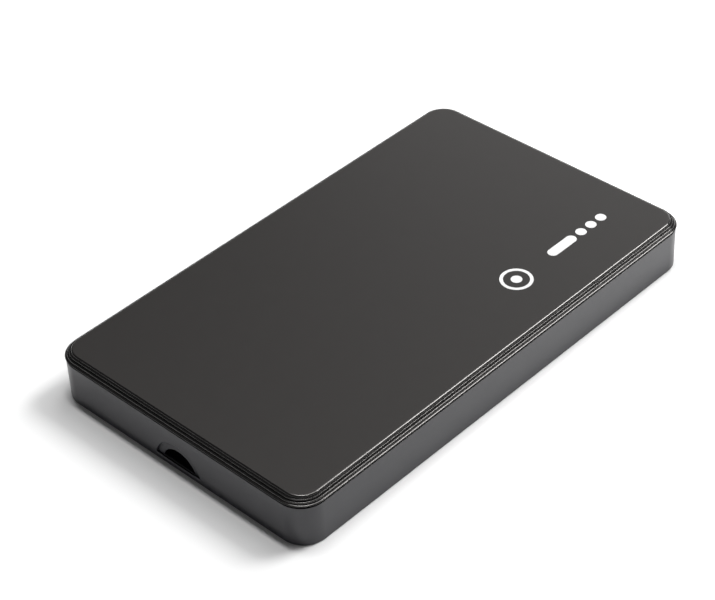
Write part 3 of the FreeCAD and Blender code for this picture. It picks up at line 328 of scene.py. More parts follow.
def turned_shape(profile, place, steps=32, waves=0.0):
    """Profile of radius and height turned about an upright axis, closed where its end radius is nought.

    A point is the place plus the radius times the direction of its angle. Where a row has a wave, its radius
    swells and sinks six times round, as one plus the wave times the cosine of six turns.
    """
    turn = np.linspace(0.0, 2 * np.pi, steps, endpoint=False)
    profile = np.array(profile, float)
    wave = np.broadcast_to(waves, len(profile))
    radius = profile[:, :1] * (1 + wave[:, None] * np.cos(LOBES * turn))
    x = place[0] + radius * np.cos(turn)
    y = place[1] + radius * np.sin(turn)
    z = np.broadcast_to(profile[:, 1:], x.shape)
    return grid_shape(np.stack([x, y, z], axis=-1))


def joined_shape(shapes):
    """One set of vertices and faces from several."""
    points = []
    faces = []
    start = 0
    for shape_points, shape_faces in shapes:
        points.append(shape_points)
        faces += [[corner + start for corner in face] for face in shape_faces]
        start += len(shape_points)
    return np.concatenate(points), faces


# Objects

MERGE = 1e-4 * MM
SHARP = math.radians(32)


def new_object(name, shape):
    """Object at the origin from vertices and faces, with doubles merged and faces turned outwards."""
    points, faces = shape
    mesh = bpy.data.meshes.new(name)
    mesh.from_pydata(points.tolist(), [], faces)
    work = bmesh.new()
    work.from_mesh(mesh)
    bmesh.ops.remove_doubles(work, verts=work.verts, dist=MERGE)
    bmesh.ops.recalc_face_normals(work, faces=work.faces)
    work.to_mesh(mesh)
    work.free()
    made = bpy.data.objects.new(name, mesh)
    bpy.context.scene.collection.objects.link(made)
    return made


def combine(piece, other, operation):
    """Joins another solid to a piece, or cuts it out of the piece, and removes that other solid."""
    change = piece.modifiers.new("change", "BOOLEAN")
    change.operation = operation
    change.solver = "EXACT"
    change.use_self = True
    change.object = other
    shown = piece.evaluated_get(bpy.context.evaluated_depsgraph_get())
    result = bpy.data.meshes.new_from_object(shown)
    piece.modifiers.clear()
    piece.data = result
    bpy.data.objects.remove(other)
    if not result.polygons:
        raise RuntimeError("Nothing is left of " + piece.name)


def finish_piece(piece, material, body, replaced=()):
    """Smooth faces with flat ones kept flat, one material, and the piece's place in the frame."""
    piece.data.shade_smooth()
    piece.data.set_sharp_from_angle(angle=SHARP)
    even = piece.modifiers.new("even_normals", "WEIGHTED_NORMAL")
    even.keep_sharp = True
    piece.data.materials.clear()
    piece.data.materials.append(material)
    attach(piece, body)
    if replaced:
        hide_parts(*replaced)


# Shader nodes

def add_node(tree, kind, inputs=None, **settings):
    """Shader node with its settings, and each input given as a value or as a socket to link."""
    made = tree.nodes.new("ShaderNode" + kind)
    for key, value in settings.items():
        setattr(made, key, value)
    for key, value in (inputs or {}).items():
        if isinstance(value, bpy.types.NodeSocket):
            tree.links.new(value, made.inputs[key])
        else:
            made.inputs[key].default_value = value
    return made


def new_material(name):
    """Empty material, its node tree, and the coordinates of the piece's own mesh."""
    made = bpy.data.materials.new(name)
    made.use_nodes = True
    made.node_tree.nodes.clear()
    return made, made.node_tree, add_node(made.node_tree, "TexCoord").outputs["Object"]


def closed_material(material, shader):
    """Material with a shader sent to its output."""
    add_node(material.node_tree, "OutputMaterial", {"Surface": shader.outputs[0]})
    return material


def principled(material, inputs):
    """Material whose surface is one principled shader with the given inputs."""
    return closed_material(material, add_node(material.node_tree, "BsdfPrincipled", inputs))


def arithmetic(tree, operation, *values, **settings):
    """Number worked out from others by one operation."""
    return add_node(tree, "Math", dict(enumerate(values)), operation=operation, **settings).outputs[0]


def vector_step(tree, operation, *values, result="Vector"):
    """Vector, or number, worked out from vectors by one operation."""
    made = add_node(tree, "VectorMath", dict(enumerate(values)), operation=operation)
    return made.outputs[result]


def mapped(tree, value, limits):
    """Value carried from one range to another, and held within it."""
    return add_node(tree, "MapRange", {"Value": value, **limits}).outputs["Result"]


def clouds(tree, coords, scale, detail=2.0):
    """Noise of the given scale, from nought to one."""
    return add_node(tree, "TexNoise", {"Vector": coords, "Scale": scale, "Detail": detail}).outputs["Fac"]


def shaded(colour, factor):
    """Colour made lighter or darker, with alpha."""
    return tuple(min(1.0, channel * factor) for channel in colour) + (1.0,)


def two_tone(tree, factor, first, last, start=0.3, end=0.7):
    """Colour that goes from the first to the last as the factor goes from the start to the end."""
    ramp = add_node(tree, "ValToRGB", {"Fac": factor})
    ramp.color_ramp.elements[0].position = start
    ramp.color_ramp.elements[0].color = first
    ramp.color_ramp.elements[1].position = end
    ramp.color_ramp.elements[1].color = last
    return ramp.outputs["Color"]


def speckled(tree, coords, colour, scale, spread):
    """Colour that wanders a little lighter and darker with a noise of the given scale."""
    noise = clouds(tree, coords, scale, detail=3.0)
    return two_tone(tree, noise, shaded(colour, 1 - spread), shaded(colour, 1 + spread))


def bumped(tree, height, depth):
    """Normal bumped by a height from nought to one, which stands for the given depth."""
    bump = add_node(tree, "Bump", {"Height": height, "Strength": 1.0, "Distance": depth})
    return bump.outputs["Normal"]


def grained(tree, coords, scale, depth):
    """Normal bumped by a fine noise."""
    return bumped(tree, clouds(tree, coords, scale), depth)


def ranged(tree, coords, scale, low, high):
    """Value that wanders between two limits with a noise of the given scale."""
    return mapped(tree, clouds(tree, coords, scale), {"To Min": low, "To Max": high})


# Finishes, with the scales of their patterns in repeats to the metre

COLOUR_CLOUDS = 350.0
PLATE_CLOUDS = 260.0
GLOSS_CLOUDS = 220.0
MOULD_GRAIN = 5000.0
MOULD_DEPTH = 0.002 * MM
MOULD_SPAN = 0.03
PLATE_GRAIN = 6000.0
PLATE_DEPTH = 0.004 * MM
PLATE_SPREAD = 0.05
PLATE_GLOSS = (0.49, 0.51)
RIM_GLOSS = (0.18, 0.2)
RIM_SHINE = 0.8
WARM_GLOSS = (1.0, 0.965, 0.94, 1.0)
METAL_GRAIN = 1500.0
METAL_CLOUDS = 600.0
METAL_DEPTH = 0.002 * MM
METAL_SPREAD = 0.08
BRUSHED = (1.0, 0.05, 1.0)


def plate_finish(colour):
    """Plate of the lid: matt, with a fine grain and a colour that wanders slightly."""
    material, tree, coords = new_material("plate_finish")
    return principled(material, {
        "Base Color": speckled(tree, coords, colour, PLATE_CLOUDS, PLATE_SPREAD),
        "Roughness": ranged(tree, coords, GLOSS_CLOUDS, *PLATE_GLOSS),
        "Specular Tint": WARM_GLOSS,
        "Normal": grained(tree, coords, PLATE_GRAIN, PLATE_DEPTH),
    })


def rim_finish(colour):
    """Steps of the lid: polished and darker, with a gloss that varies slightly."""
    material, tree, coords = new_material("rim_finish")
    return principled(material, {
        "Base Color": speckled(tree, coords, colour, PLATE_CLOUDS, PLATE_SPREAD),
        "Roughness": ranged(tree, coords, GLOSS_CLOUDS, *RIM_GLOSS),
        "Specular IOR Level": RIM_SHINE,
        "Specular Tint": WARM_GLOSS,
    })


def moulded_finish(name, colour, roughness, spread=0.06, index=1.5):
    """Moulded plastic: a fine grain, and a colour and gloss that vary slightly."""
    material, tree, coords = new_material(name)
    return principled(material, {
        "Base Color": speckled(tree, coords, colour, COLOUR_CLOUDS, spread),
        "Roughness": ranged(tree, coords, GLOSS_CLOUDS, roughness - MOULD_SPAN, roughness + MOULD_SPAN),
        "Normal": grained(tree, coords, MOULD_GRAIN, MOULD_DEPTH),
        "IOR": index,
    })


def metal_finish(name, colour, roughness, stretch=(1.0, 1.0, 1.0)):
    """Bare metal: streaks along the stretched axis, in colour, gloss and height."""
    material, tree, coords = new_material(name)
    streaks = add_node(tree, "Mapping", {"Vector": coords, "Scale": stretch}).outputs["Vector"]
    return principled(material, {
        "Base Color": speckled(tree, streaks, colour, METAL_CLOUDS, METAL_SPREAD),
        "Metallic": 1.0,
        "Roughness": ranged(tree, streaks, METAL_GRAIN, low=0.8 * roughness, high=1.2 * roughness),
        "Normal": grained(tree, streaks, METAL_GRAIN, METAL_DEPTH),
    })


def board_finish(name, colour):
    """Circuit board: green mask with lighter tracks in straight runs, and a glossy coat."""
    material, tree, coords = new_material(name)
    tracks = add_node(tree, "TexBrick", {
        "Vector": coords, "Color1": shaded(colour, 0.85), "Color2": shaded(colour, 1.05),
        "Mortar": shaded(colour, 1.9), "Scale": 420.0, "Mortar Size": 0.03,
    })
    return principled(material, {
        "Base Color": tracks.outputs["Color"],
        "Roughness": ranged(tree, coords, scale=900.0, low=0.26, high=0.36),
        "Normal": grained(tree, coords, scale=2500.0, depth=0.003 * MM),
    })


def foam_finish(name, colour):
    """Open foam: small deep cells, with painted shade that darkens the colour in the low pits and painted
    light that lightens it on the ridges.
    """
    material, tree, coords = new_material(name)
    cells = add_node(tree, "TexVoronoi", {"Vector": coords, "Scale": 2200.0}).outputs["Distance"]
    return principled(material, {
        # Painted shade and light: the colour follows the bump's height, dark in the pits and light on the
        # ridges
        "Base Color": two_tone(tree, cells, shaded(colour, 0.5), shaded(colour, 1.6), start=0.1, end=0.8),
        "Roughness": ranged(tree, coords, scale=800.0, low=0.85, high=0.95),
        "Normal": bumped(tree, cells, depth=0.1 * MM),
    })


def wound_finish(name, colour):
    """Enamelled wire: fine ridges side by side, with painted shade in the grooves and painted light on the
    ridges.
    """
    material, tree, coords = new_material(name)
    wire = add_node(tree, "TexWave", {"Vector": coords, "Scale": 1600.0, "Distortion": 0.6}).outputs["Fac"]
    return principled(material, {
        # Painted shade and light: the colour follows the ridges' height, dark in the grooves and light on
        # the tops
        "Base Color": two_tone(tree, wire, shaded(colour, 0.6), shaded(colour, 1.1)),
        "Metallic": 1.0,
        "Roughness": ranged(tree, coords, scale=700.0, low=0.25, high=0.35),
        "Normal": bumped(tree, wire, depth=0.03 * MM),
    })


def clear_finish(name, colour):
    """Clear moulded rod with faint clouding."""
    material, tree, coords = new_material(name)
    return principled(material, {
        "Base Color": speckled(tree, coords, colour, scale=600.0, spread=0.04),
        "Roughness": ranged(tree, coords, scale=300.0, low=0.12, high=0.22),
        "Transmission Weight": 0.7,
        "IOR": 1.49,
    })


# Finish of each material slot: its maker, its colour, and its roughness and grain where the maker takes them
SLOT_FINISHES = {
    "foam": (foam_finish, (0.03, 0.03, 0.03)),
    "board": (board_finish, (0.02, 0.16, 0.07)),
    "chip": (moulded_finish, (0.03, 0.03, 0.03), 0.5),
    "can": (metal_finish, (0.72, 0.71, 0.68), 0.28),
    "ceramic_part": (moulded_finish, (0.3, 0.2, 0.12), 0.45),
    "lamp": (moulded_finish, (0.85, 0.82, 0.6), 0.3),
    "guide": (clear_finish, (0.9, 0.92, 0.95)),
    "screw": (metal_finish, (0.42, 0.42, 0.43), 0.3),
    "black_plastic": (moulded_finish, (0.03, 0.03, 0.035), 0.42),
    "port_shell": (metal_finish, (0.68, 0.68, 0.68), 0.25, BRUSHED),
    "cast": (metal_finish, (0.55, 0.56, 0.57), 0.5),
    "sheet": (metal_finish, (0.62, 0.63, 0.64), 0.32, BRUSHED),
    "seal": (moulded_finish, (0.05, 0.05, 0.05), 0.8),
    "disc": (metal_finish, (0.75, 0.75, 0.76), 0.06),
    "turned": (metal_finish, (0.7, 0.7, 0.71), 0.25),
    "steel": (metal_finish, (0.6, 0.6, 0.61), 0.22, BRUSHED),
    "iron": (metal_finish, (0.35, 0.34, 0.34), 0.4),
    "copper": (wound_finish, (0.72, 0.34, 0.16)),
    "magnet": (metal_finish, (0.5, 0.5, 0.49), 0.3),
    "ramp": (moulded_finish, (0.7, 0.68, 0.6), 0.4),
    "film": (moulded_finish, (0.62, 0.34, 0.08), 0.3),
    "filter": (moulded_finish, (0.8, 0.8, 0.78), 0.9),
    "gold": (metal_finish, (0.83, 0.62, 0.25), 0.22),
}


def slot_finish(slot):
    """Finish of a material slot, which is made the first time that it is asked for."""
    name = slot + "_finish"
    made = bpy.data.materials.get(name)
    if made is None:
        maker, *values = SLOT_FINISHES[slot]
        made = maker(name, *values)
    return made


# Lid

FLAT_MARGIN = 0.8 * MM
BURY = 0.3 * MM
RIM_START = 0.1


def lid_profile(sizes):
    """Inset and height of the lid's section: plate edge, steps, bead, bead side and underside."""
    edges = [
        (sizes.plate_reach, sizes.plate_round), (sizes.upper_round, sizes.upper_round),
        (sizes.lower_round, sizes.lower_round), (sizes.bead_reach, sizes.bead_round),
    ]
    last = len(edges) - 1
    rows = [[(last * sizes.step_run + sizes.plate_reach + FLAT_MARGIN, PLATE_Z)]]
    for step, (reach, drop) in enumerate(edges):
        inset = (last - step) * sizes.step_run
        height = PLATE_Z - step * sizes.step_rise
        rows.append(rounded_edge(inset, height, reach, drop))
        if step < last:
            rows.append([(inset, height - sizes.step_rise)])
    rows.append([(0.0, RIM_Z + sizes.bead_bevel), (sizes.bead_bevel, RIM_Z), (sizes.wall, RIM_Z)])
    return np.concatenate([np.array(row, float) for row in rows])


def skirt_shapes(sizes):
    """Four strips under the lid, inside the walls, that stop short of the round corners."""
    shapes = []
    reach_x = TRAY_HIGH.x - sizes.corner_radius
    reach_y = TRAY_HIGH.y - sizes.corner_radius
    inset = sizes.wall + sizes.skirt_gap
    for side in (-1, 1):
        x0 = side * (TRAY_HIGH.x - inset)
        x1 = x0 - side * sizes.skirt
        shapes.append(box_shape((x0, -reach_y, LID_LOW.z), (x1, reach_y, RIM_Z + BURY)))
        y0 = side * (TRAY_HIGH.y - inset)
        y1 = y0 - side * sizes.skirt
        shapes.append(box_shape((-reach_x, y0, LID_LOW.z), (reach_x, y1, RIM_Z + BURY)))
    return shapes


def clip_places(sizes):
    """Middle of each clip bead in plan, and the axis that it runs along."""
    inset = sizes.wall + sizes.skirt_gap
    reach_x = TRAY_HIGH.x - sizes.clip_from_end
    reach_y = TRAY_HIGH.y - sizes.clip_from_side
    places = []
    for side in (-1, 1):
        for x in (-reach_x, 0.0, reach_x):
            places.append((x, side * (TRAY_HIGH.y - inset), 0))
        for y in (-reach_y, reach_y):
            places.append((side * (TRAY_HIGH.x - inset), y, 1))
    return places


def clip_shape(x, y, axis, sizes, steps=12):
    """Bead along one axis: circles stacked along it, which shrink to half their radius at both ends."""
    turn = np.linspace(0.0, 2 * np.pi, steps, endpoint=False)
    half = sizes.clip_length / 2
    along = np.array([-half, sizes.clip_radius - half, half - sizes.clip_radius, half])
    radius = sizes.clip_radius * np.array([0.5, 1.0, 1.0, 0.5])
    rows = np.empty((len(along), steps, 3))
    rows[..., axis] = along[:, None]
    rows[..., 1 - axis] = radius[:, None] * np.cos(turn)
    rows[..., 2] = radius[:, None] * np.sin(turn)
    return drawn_shape(rows + np.array([x, y, RIM_Z - sizes.clip_drop]))


def mark_rim(mesh, sizes):
    """Gives the second material to each face that lies below the first part of the plate's rounding."""
    middles = np.empty(len(mesh.polygons) * 3, np.float32)
    mesh.polygons.foreach_get("center", middles)
    below = middles.reshape(-1, 3)[:, 2] < PLATE_Z - RIM_START * sizes.plate_round
    mesh.polygons.foreach_set("material_index", below.astype(np.int32))


class DRIVE_OT_lid_shell(bpy.types.Operator):
    """Builds the lid with its stepped rim, skirt strips and clip beads"""

    bl_idname = "drive.lid_shell"
    bl_label = "Lid shell"

    def execute(self, context):
        sizes = context.scene.drive_case
        colours = context.scene.drive_colours
        loop = rounded_loop(LID_LOW, LID_HIGH, sizes.corner_radius + LID_HIGH.x - TRAY_HIGH.x)
        piece = new_object("lid_shell", shell_shape(loop, lid_profile(sizes)))
        clips = [clip_shape(x, y, axis, sizes) for x, y, axis in clip_places(sizes)]
        combine(piece, new_object("skirt", joined_shape(skirt_shapes(sizes))), "UNION")
        combine(piece, new_object("clips", joined_shape(clips)), "UNION")
        finish_piece(piece, plate_finish(colours.plate), "case", ["top_cover"])
        piece.data.materials.append(rim_finish(colours.rim))
        mark_rim(piece.data, sizes)
        return {"FINISHED"}


# Tray

TONGUE_PLAY = 0.02 * MM
POCKET_SHARE = 1.5
TRAY_ROUGHNESS = 0.34
TRAY_INDEX = 1.6


def tray_profile(sizes):
    """Inset and height of the tray's section: foot, wall, shadow gap, tongue, inner wall and floor."""
    wall_top = RIM_Z - sizes.seam
    foot = rounded_edge(0.0, 0.0, sizes.foot_round, sizes.foot_round) * (1, -1)
    crown = rounded_edge(0.0, wall_top, sizes.wall_round, sizes.wall_round)[::-1]
    tongue = sizes.wall - sizes.tongue
    tongue_top = RIM_Z - TONGUE_PLAY
    rows = [
        [(sizes.foot_round + FLAT_MARGIN, 0.0)],
        foot,
        crown,
        [(tongue, wall_top), (tongue, tongue_top), (sizes.wall, tongue_top)],
        [(sizes.wall, FLOOR_TOP), (sizes.wall + FLAT_MARGIN, FLOOR_TOP)],
    ]
    return np.concatenate([np.array(row, float) for row in rows])


def slot_outline(x, radius, sill, openings, steps=56):
    """Half-moon at one depth: an arc of the given radius from the sill over the crown and back to it."""
    middle_z = openings.slot_top - openings.slot_radius
    start = math.asin((sill - middle_z) / radius)
    turn = np.linspace(start, math.pi - start, steps)
    y = radius * np.cos(turn) + openings.slot_y
    z = middle_z + radius * np.sin(turn)
    return np.column_stack([np.full(steps, x), y, z])


def slot_cutter(openings, radius, lip, first, last, steps=5):
    """Half-moon between two depths, whose mouth flares by a quarter circle at the first depth.

    The depth grows by the lip times one less the cosine of the turn, and the flare is the lip times one less
    its sine.
    """
    turn = np.linspace(0.0, 0.5 * np.pi, steps)
    depths = [first - MM, *(first + lip * (1 - np.cos(turn))), last]
    flares = [lip, *(lip * (1 - np.sin(turn))), 0.0]
    rows = []
    for depth, flare in zip(depths, flares):
        rows.append(slot_outline(TRAY_LOW.x + depth, radius + flare, openings.slot_sill - flare, openings))
    return new_object("slot_cutter", drawn_shape(np.stack(rows)))


def relief_cutter(sizes, openings):
    """Block behind the slot's sill."""
    half = openings.slot_radius - openings.slot_band
    front = TRAY_LOW.x + openings.slot_step + openings.sill_depth
    back = TRAY_LOW.x + sizes.wall + MM
    low = (front, openings.slot_y - half, FLOOR_TOP)
    high = (back, openings.slot_y + half, openings.slot_sill + openings.sill_relief)
    return new_object("relief_cutter", box_shape(low, high))


def port_outline(x, grow, openings):
    """Stepped port outline at one X: a wide bay with bevelled top corners, and a lower side bay."""
    low_y = PORT_LOW.y - grow
    high_y = PORT_HIGH.y + grow
    low_z = PORT_LOW.z - grow
    high_z = PORT_HIGH.z + grow
    shoulder = PORT_LOW.y + openings.port_main + grow
    side_z = PORT_LOW.z + openings.port_side + grow
    bevel = openings.port_bevel
    outline = [
        (low_y, low_z), (high_y, low_z), (high_y, side_z), (shoulder, side_z),
        (shoulder, high_z - bevel / 2), (shoulder - bevel / 2, high_z), (low_y + bevel, high_z),
        (low_y, high_z - bevel),
    ]
    return np.array([(x, y, z) for y, z in outline])


def port_cutter(sizes, openings):
    """Port opening through the end wall, widened by a bevel where it meets the outside."""
    lip = openings.lip_round
    outside = TRAY_HIGH.x
    flares = [(outside - sizes.wall - MM, 0.0), (outside - lip, 0.0), (outside, lip), (outside + MM, lip)]
    rows = [port_outline(x, openings.port_play + flare, openings) for x, flare in flares]
    return new_object("port_cutter", drawn_shape(np.stack(rows)))


def light_cutter(sizes, openings):
    """Opening for the light rod, which is narrower than the rod's collar."""
    margin = openings.guide_collar - openings.guide_play
    low = (TRAY_HIGH.x - sizes.wall - MM, GUIDE_LOW.y + margin, GUIDE_LOW.z + margin)
    high = (TRAY_HIGH.x + MM, GUIDE_HIGH.y - margin, GUIDE_HIGH.z - margin)
    return new_object("light_cutter", box_shape(low, high))


def pocket_cutter(sizes):
    """Pockets in the walls' inner faces for the clip beads."""
    shapes = []
    for x, y, axis in clip_places(sizes):
        half = np.full(3, POCKET_SHARE * sizes.clip_radius)
        half[axis] = sizes.clip_length / 2 + sizes.clip_radius / 2
        middle = np.array([x, y, RIM_Z - sizes.clip_drop])
        shapes.append(box_shape(middle - half, middle + half))
    return new_object("pocket_cutter", joined_shape(shapes))


def rib_shapes(sizes):
    """Ribs on the side walls and on the plain end wall that hold the drive."""
    half = sizes.rib / 2
    low = FLOOR_TOP - BURY
    high = FLOOR_TOP + sizes.rib_height
    side = DRIVE_HIGH.y + sizes.rib_fit
    bury = TRAY_HIGH.y - sizes.wall + BURY
    shapes = []
    first = DRIVE_LOW.x + sizes.rib_from_end
    last = DRIVE_HIGH.x - sizes.rib_from_end
    for x in (first, 0.5 * (DRIVE_LOW.x + DRIVE_HIGH.x), last):
        shapes.append(box_shape((x - half, side, low), (x + half, bury, high)))
        shapes.append(box_shape((x - half, -bury, low), (x + half, -side, high)))
    reach_y = TRAY_HIGH.y - sizes.clip_from_side
    for y in (-reach_y, reach_y):
        start = TRAY_LOW.x + sizes.wall - BURY
        shapes.append(box_shape((start, y - half, low), (DRIVE_LOW.x - sizes.rib_fit, y + half, high)))
    return shapes


def boss_shapes(sizes, screws):
    """Two bosses under the board, each drilled for its screw: outer wall, top ring, bore and bore floor."""
    low = FLOOR_TOP - BURY
    top = BOARD_LOW.z
    profile = [
        (0.0, low), (sizes.boss_radius, low), (sizes.boss_radius, top), (screws.shank, top),
        (screws.shank, FLOOR_TOP), (0.0, FLOOR_TOP),
    ]
    return [turned_shape(profile, place) for place in screw_places("bridge_screws", screws)]


class DRIVE_OT_tray_shell(bpy.types.Operator):
    """Builds the tray with its ribs and bosses, and cuts its slot, port and light openings"""

    bl_idname = "drive.tray_shell"
    bl_label = "Tray shell"

    def execute(self, context):
        sizes = context.scene.drive_case
        openings = context.scene.drive_openings
        loop = rounded_loop(TRAY_LOW, TRAY_HIGH, sizes.corner_radius)
        piece = new_object("tray_shell", shell_shape(loop, tray_profile(sizes)))
        inner = rib_shapes(sizes) + boss_shapes(sizes, context.scene.drive_screws)
        combine(piece, new_object("inner", joined_shape(inner)), "UNION")
        step = openings.slot_step
        opening = openings.slot_radius - openings.slot_band
        cutters = [
            slot_cutter(openings, openings.slot_radius, openings.band_round, 0.0, step),
            slot_cutter(openings, opening, openings.lip_round, step, sizes.wall + MM),
            relief_cutter(sizes, openings),
            port_cutter(sizes, openings),
            light_cutter(sizes, openings),
            pocket_cutter(sizes),
        ]
        for cutter in cutters:
            combine(piece, cutter, "DIFFERENCE")
        colour = context.scene.drive_colours.tray
        finish = moulded_finish("tray_finish", colour, TRAY_ROUGHNESS, index=TRAY_INDEX)
        finish_piece(piece, finish, "case", ["bottom_case"])
        return {"FINISHED"}


# Printed marks

DOT_COUNT = 3
INK_ROUGHNESS = 0.5
INK_SPREAD = 0.04


def ink_levels(marks):
    """Heights of the ink's underside, which is sunk in the plate, and of its top."""
    return PLATE_Z - marks.ink_depth / 2, PLATE_Z + marks.ink_depth


def stadium(x0, x1, y, half, steps=24):
    """Bar with round ends: half a circle about the last end and half a circle about the first."""
    turn = np.linspace(-0.5 * np.pi, 0.5 * np.pi, steps)
    last = np.column_stack([x1 + half * np.cos(turn), y + half * np.sin(turn)])
    first = np.column_stack([x0 - half * np.cos(turn), y - half * np.sin(turn)])
    return np.concatenate([last, first])


def ring_shape(x, y, outer, inner, levels, steps=96):
    """Ring of ink: its section, a flat rectangle, turned about an upright axis and closed on itself."""
    low, high = levels
    profile = [(inner, low), (outer, low), (outer, high), (inner, high), (inner, low)]
    return turned_shape(profile, (x, y), steps)


class DRIVE_OT_printed_marks(bpy.types.Operator):
    """Prints a plain disc mark and a plain bar with dots on the lid"""

    bl_idname = "drive.printed_marks"
    bl_label = "Printed marks"

    def execute(self, context):
        marks = context.scene.drive_marks
        colour = context.scene.drive_colours.ink
        finish = moulded_finish("ink_finish", colour, INK_ROUGHNESS, spread=INK_SPREAD)
        levels = ink_levels(marks)
        x = marks.ring_x
        y = marks.marks_y
        disc = [
            ring_shape(x, y, marks.ring_size, marks.ring_size - marks.ring_line, levels),
            upright_shape(stadium(x, x, y, marks.hub_size), levels),
        ]
        finish_piece(new_object("disc_mark", joined_shape(disc)), finish, "case")
        half = marks.bar_width / 2
        start = marks.bar_x + half
        end = start + marks.bar_length - marks.bar_width
        bars = [upright_shape(stadium(start, end, y, half), levels)]
        for number in range(DOT_COUNT):
            dot_x = end + (number + 1) * marks.dot_pitch
            bars.append(upright_shape(stadium(dot_x, dot_x, y, half), levels))
        finish_piece(new_object("bar_mark", joined_shape(bars)), finish, "case")
        return {"FINISHED"}


# Port contacts

CONTACT_COUNT = 5
PITCH_SHARE = 0.6


class DRIVE_OT_port_contacts(bpy.types.Operator):
    """Lays five gold contacts on each blade of the port"""

    bl_idname = "drive.port_contacts"
    bl_label = "Port contacts"

    def execute(self, context):
        contacts = context.scene.drive_contacts
        openings = context.scene.drive_openings
        margin = contacts.margin
        shoulder = PORT_LOW.y + openings.port_main
        top = PORT_LOW.z + openings.port_side / 2 + contacts.blade / 2
        end = PORT_HIGH.x - contacts.sheet - contacts.back
        spans = [
            (PORT_LOW.y + margin, shoulder - margin, contacts.wide_pitch),
            (shoulder - contacts.sheet + margin, PORT_HIGH.y - margin, contacts.close_pitch),
        ]
        shapes = []
        for y0, y1, pitch in spans:
            width = min(contacts.width, PITCH_SHARE * pitch)
            for number in range(CONTACT_COUNT):
                y = 0.5 * (y0 + y1) + (number - (CONTACT_COUNT - 1) / 2) * pitch
                low = (end - contacts.reach, y - width / 2, top - contacts.depth)
                shapes.append(box_shape(low, (end, y + width / 2, top + contacts.depth)))
        piece = new_object("port_contacts", joined_shape(shapes))
        finish_piece(piece, slot_finish("gold"), "case")
        return {"FINISHED"}


# Screws

SCREW_NODES = {
    "cover_screws": "case", "board_screws": "case", "bridge_screws": "case", "clamp_screw": "spindle",
}
HEADS_DOWN = ("board_screws",)
ONE_ROW = 3
LOBE = 0.17
RECESS_TAPER = 0.85
SCREW_STEPS = 48


def screw_places(node, screws):
    """Plan places of a node's screws, in a grid whose outer rows lie one head's radius inside its box.

    A box narrower than three radii holds one row, in its middle.
    """
    low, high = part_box(node)
    rows = []
    for axis in range(2):
        first = low[axis] + screws.head
        last = high[axis] - screws.head
        narrow = high[axis] - low[axis] < ONE_ROW * screws.head
        rows.append([0.5 * (first + last)] if narrow else [first, last])
    if node == "cover_screws":
        rows[0].append(0.5 * (DISC_LOW.x + DISC_HIGH.x) + screws.middle_lug)
    return [(x, y) for x in rows[0] for y in rows[1]]


def screw_shape(place, low, high, head_down, screws):
    """Screw turned from its tip to the bottom of its recess; the recess's wall has six lobes."""
    way = -1 if head_down else 1
    tip, top = (high, low) if head_down else (low, high)
    seat = top - way * screws.head_height
    bottom = top - way * screws.recess_depth
    recess = [(screws.recess, top), (RECESS_TAPER * screws.recess, bottom)]
    profile = [
        (0.0, tip), (screws.shank - screws.edge, tip), (screws.shank, tip + way * screws.edge),
        (screws.shank, seat), (screws.head, seat), (screws.head, top - way * screws.edge),
        (screws.head - screws.edge, top), *recess, (0.0, bottom),
    ]
    waves = [LOBE if row in recess else 0.0 for row in profile]
    return turned_shape(profile, place, SCREW_STEPS, waves)


class DRIVE_OT_screws(bpy.types.Operator):
    """Builds the small screws with round heads and six-lobed recesses"""

    bl_idname = "drive.screws"
    bl_label = "Screws"

    def execute(self, context):
        screws = context.scene.drive_screws
        for node, body in SCREW_NODES.items():
            low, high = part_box(node)
            places = screw_places(node, screws)
            shapes = [screw_shape(place, low.z, high.z, node in HEADS_DOWN, screws) for place in places]
            piece = new_object(node + "_round", joined_shape(shapes))
            finish_piece(piece, slot_finish("screw"), body, [node])
        return {"FINISHED"}


# Parts inside

def paint_body(body):
    """Gives each shown CAD piece of one body the finish of its material slot."""
    for row in frame["record"]["subparts"]:
        node = frame["nodes"][row["node"]]
        if node["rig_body"] == body and not node.hide_render:
            node.data.materials.clear()
            node.data.materials.append(slot_finish(row["material_slot"]))


class DRIVE_OT_case_parts(bpy.types.Operator):
    """Finishes the parts that are fixed in the case"""

    bl_idname = "drive.case_parts"
    bl_label = "Fixed parts"

    def execute(self, context):
        paint_body("case")
        return {"FINISHED"}


class DRIVE_OT_spindle_parts(bpy.types.Operator):
    """Finishes the parts that turn with the disc"""

    bl_idname = "drive.spindle_parts"
    bl_label = "Spindle parts"

    def execute(self, context):
        paint_body("spindle")
        return {"FINISHED"}


class DRIVE_OT_arm_parts(bpy.types.Operator):
    """Finishes the parts that swing with the head arm"""

    bl_idname = "drive.arm_parts"
    bl_label = "Arm parts"

    def execute(self, context):
        paint_body("head_arm")
        return {"FINISHED"}


# Stage

FLOOR_SPAN = 3.0
FLOOR_CLOUDS = 3.0
FLOOR_SPREAD = 0.005
LIT_SIDE = (0.7, -0.7, 0.0)
FOOT_SHADE = 4.0 * MM
FAR_GLOW = {"From Min": 0.12, "From Max": 0.9, "To Max": 0.3}
# Painted light: the floor's extra glow towards the lit side, which the walls show as a painted reflection
LIT_SIDE_PAINTED_LIGHT = {"From Min": -0.01, "From Max": 0.09, "To Max": 0.6}
LAMP_DISTANCE = 2.5
# Place and size of each lamp, whose power is among the stage's settings
LAMPS = {
    "key": (LAMP_DISTANCE * Vector((0.62, -0.24, 0.747)), (0.75, 0.85)),
    "soft": (LAMP_DISTANCE * Vector((0.37, 0.0, 0.93)), (1.0, 0.9)),
    "top": (LAMP_DISTANCE * Vector((0.075, 0.09, 0.993)), (1.3, 0.25)),
    "side": (Vector((0.3, 0.14, 0.12)), (0.3, 0.1)),
}
SENSOR_WIDTH = 36.0
SKY_HEIGHT = {"From Min": 0.04, "From Max": 0.42, "To Min": 1.0, "To Max": 0.0}
SKY_SIDES = {"From Min": -0.6, "From Max": 0.3, "To Min": 0.45, "To Max": 0.9}
SKY_BASE = 0.08


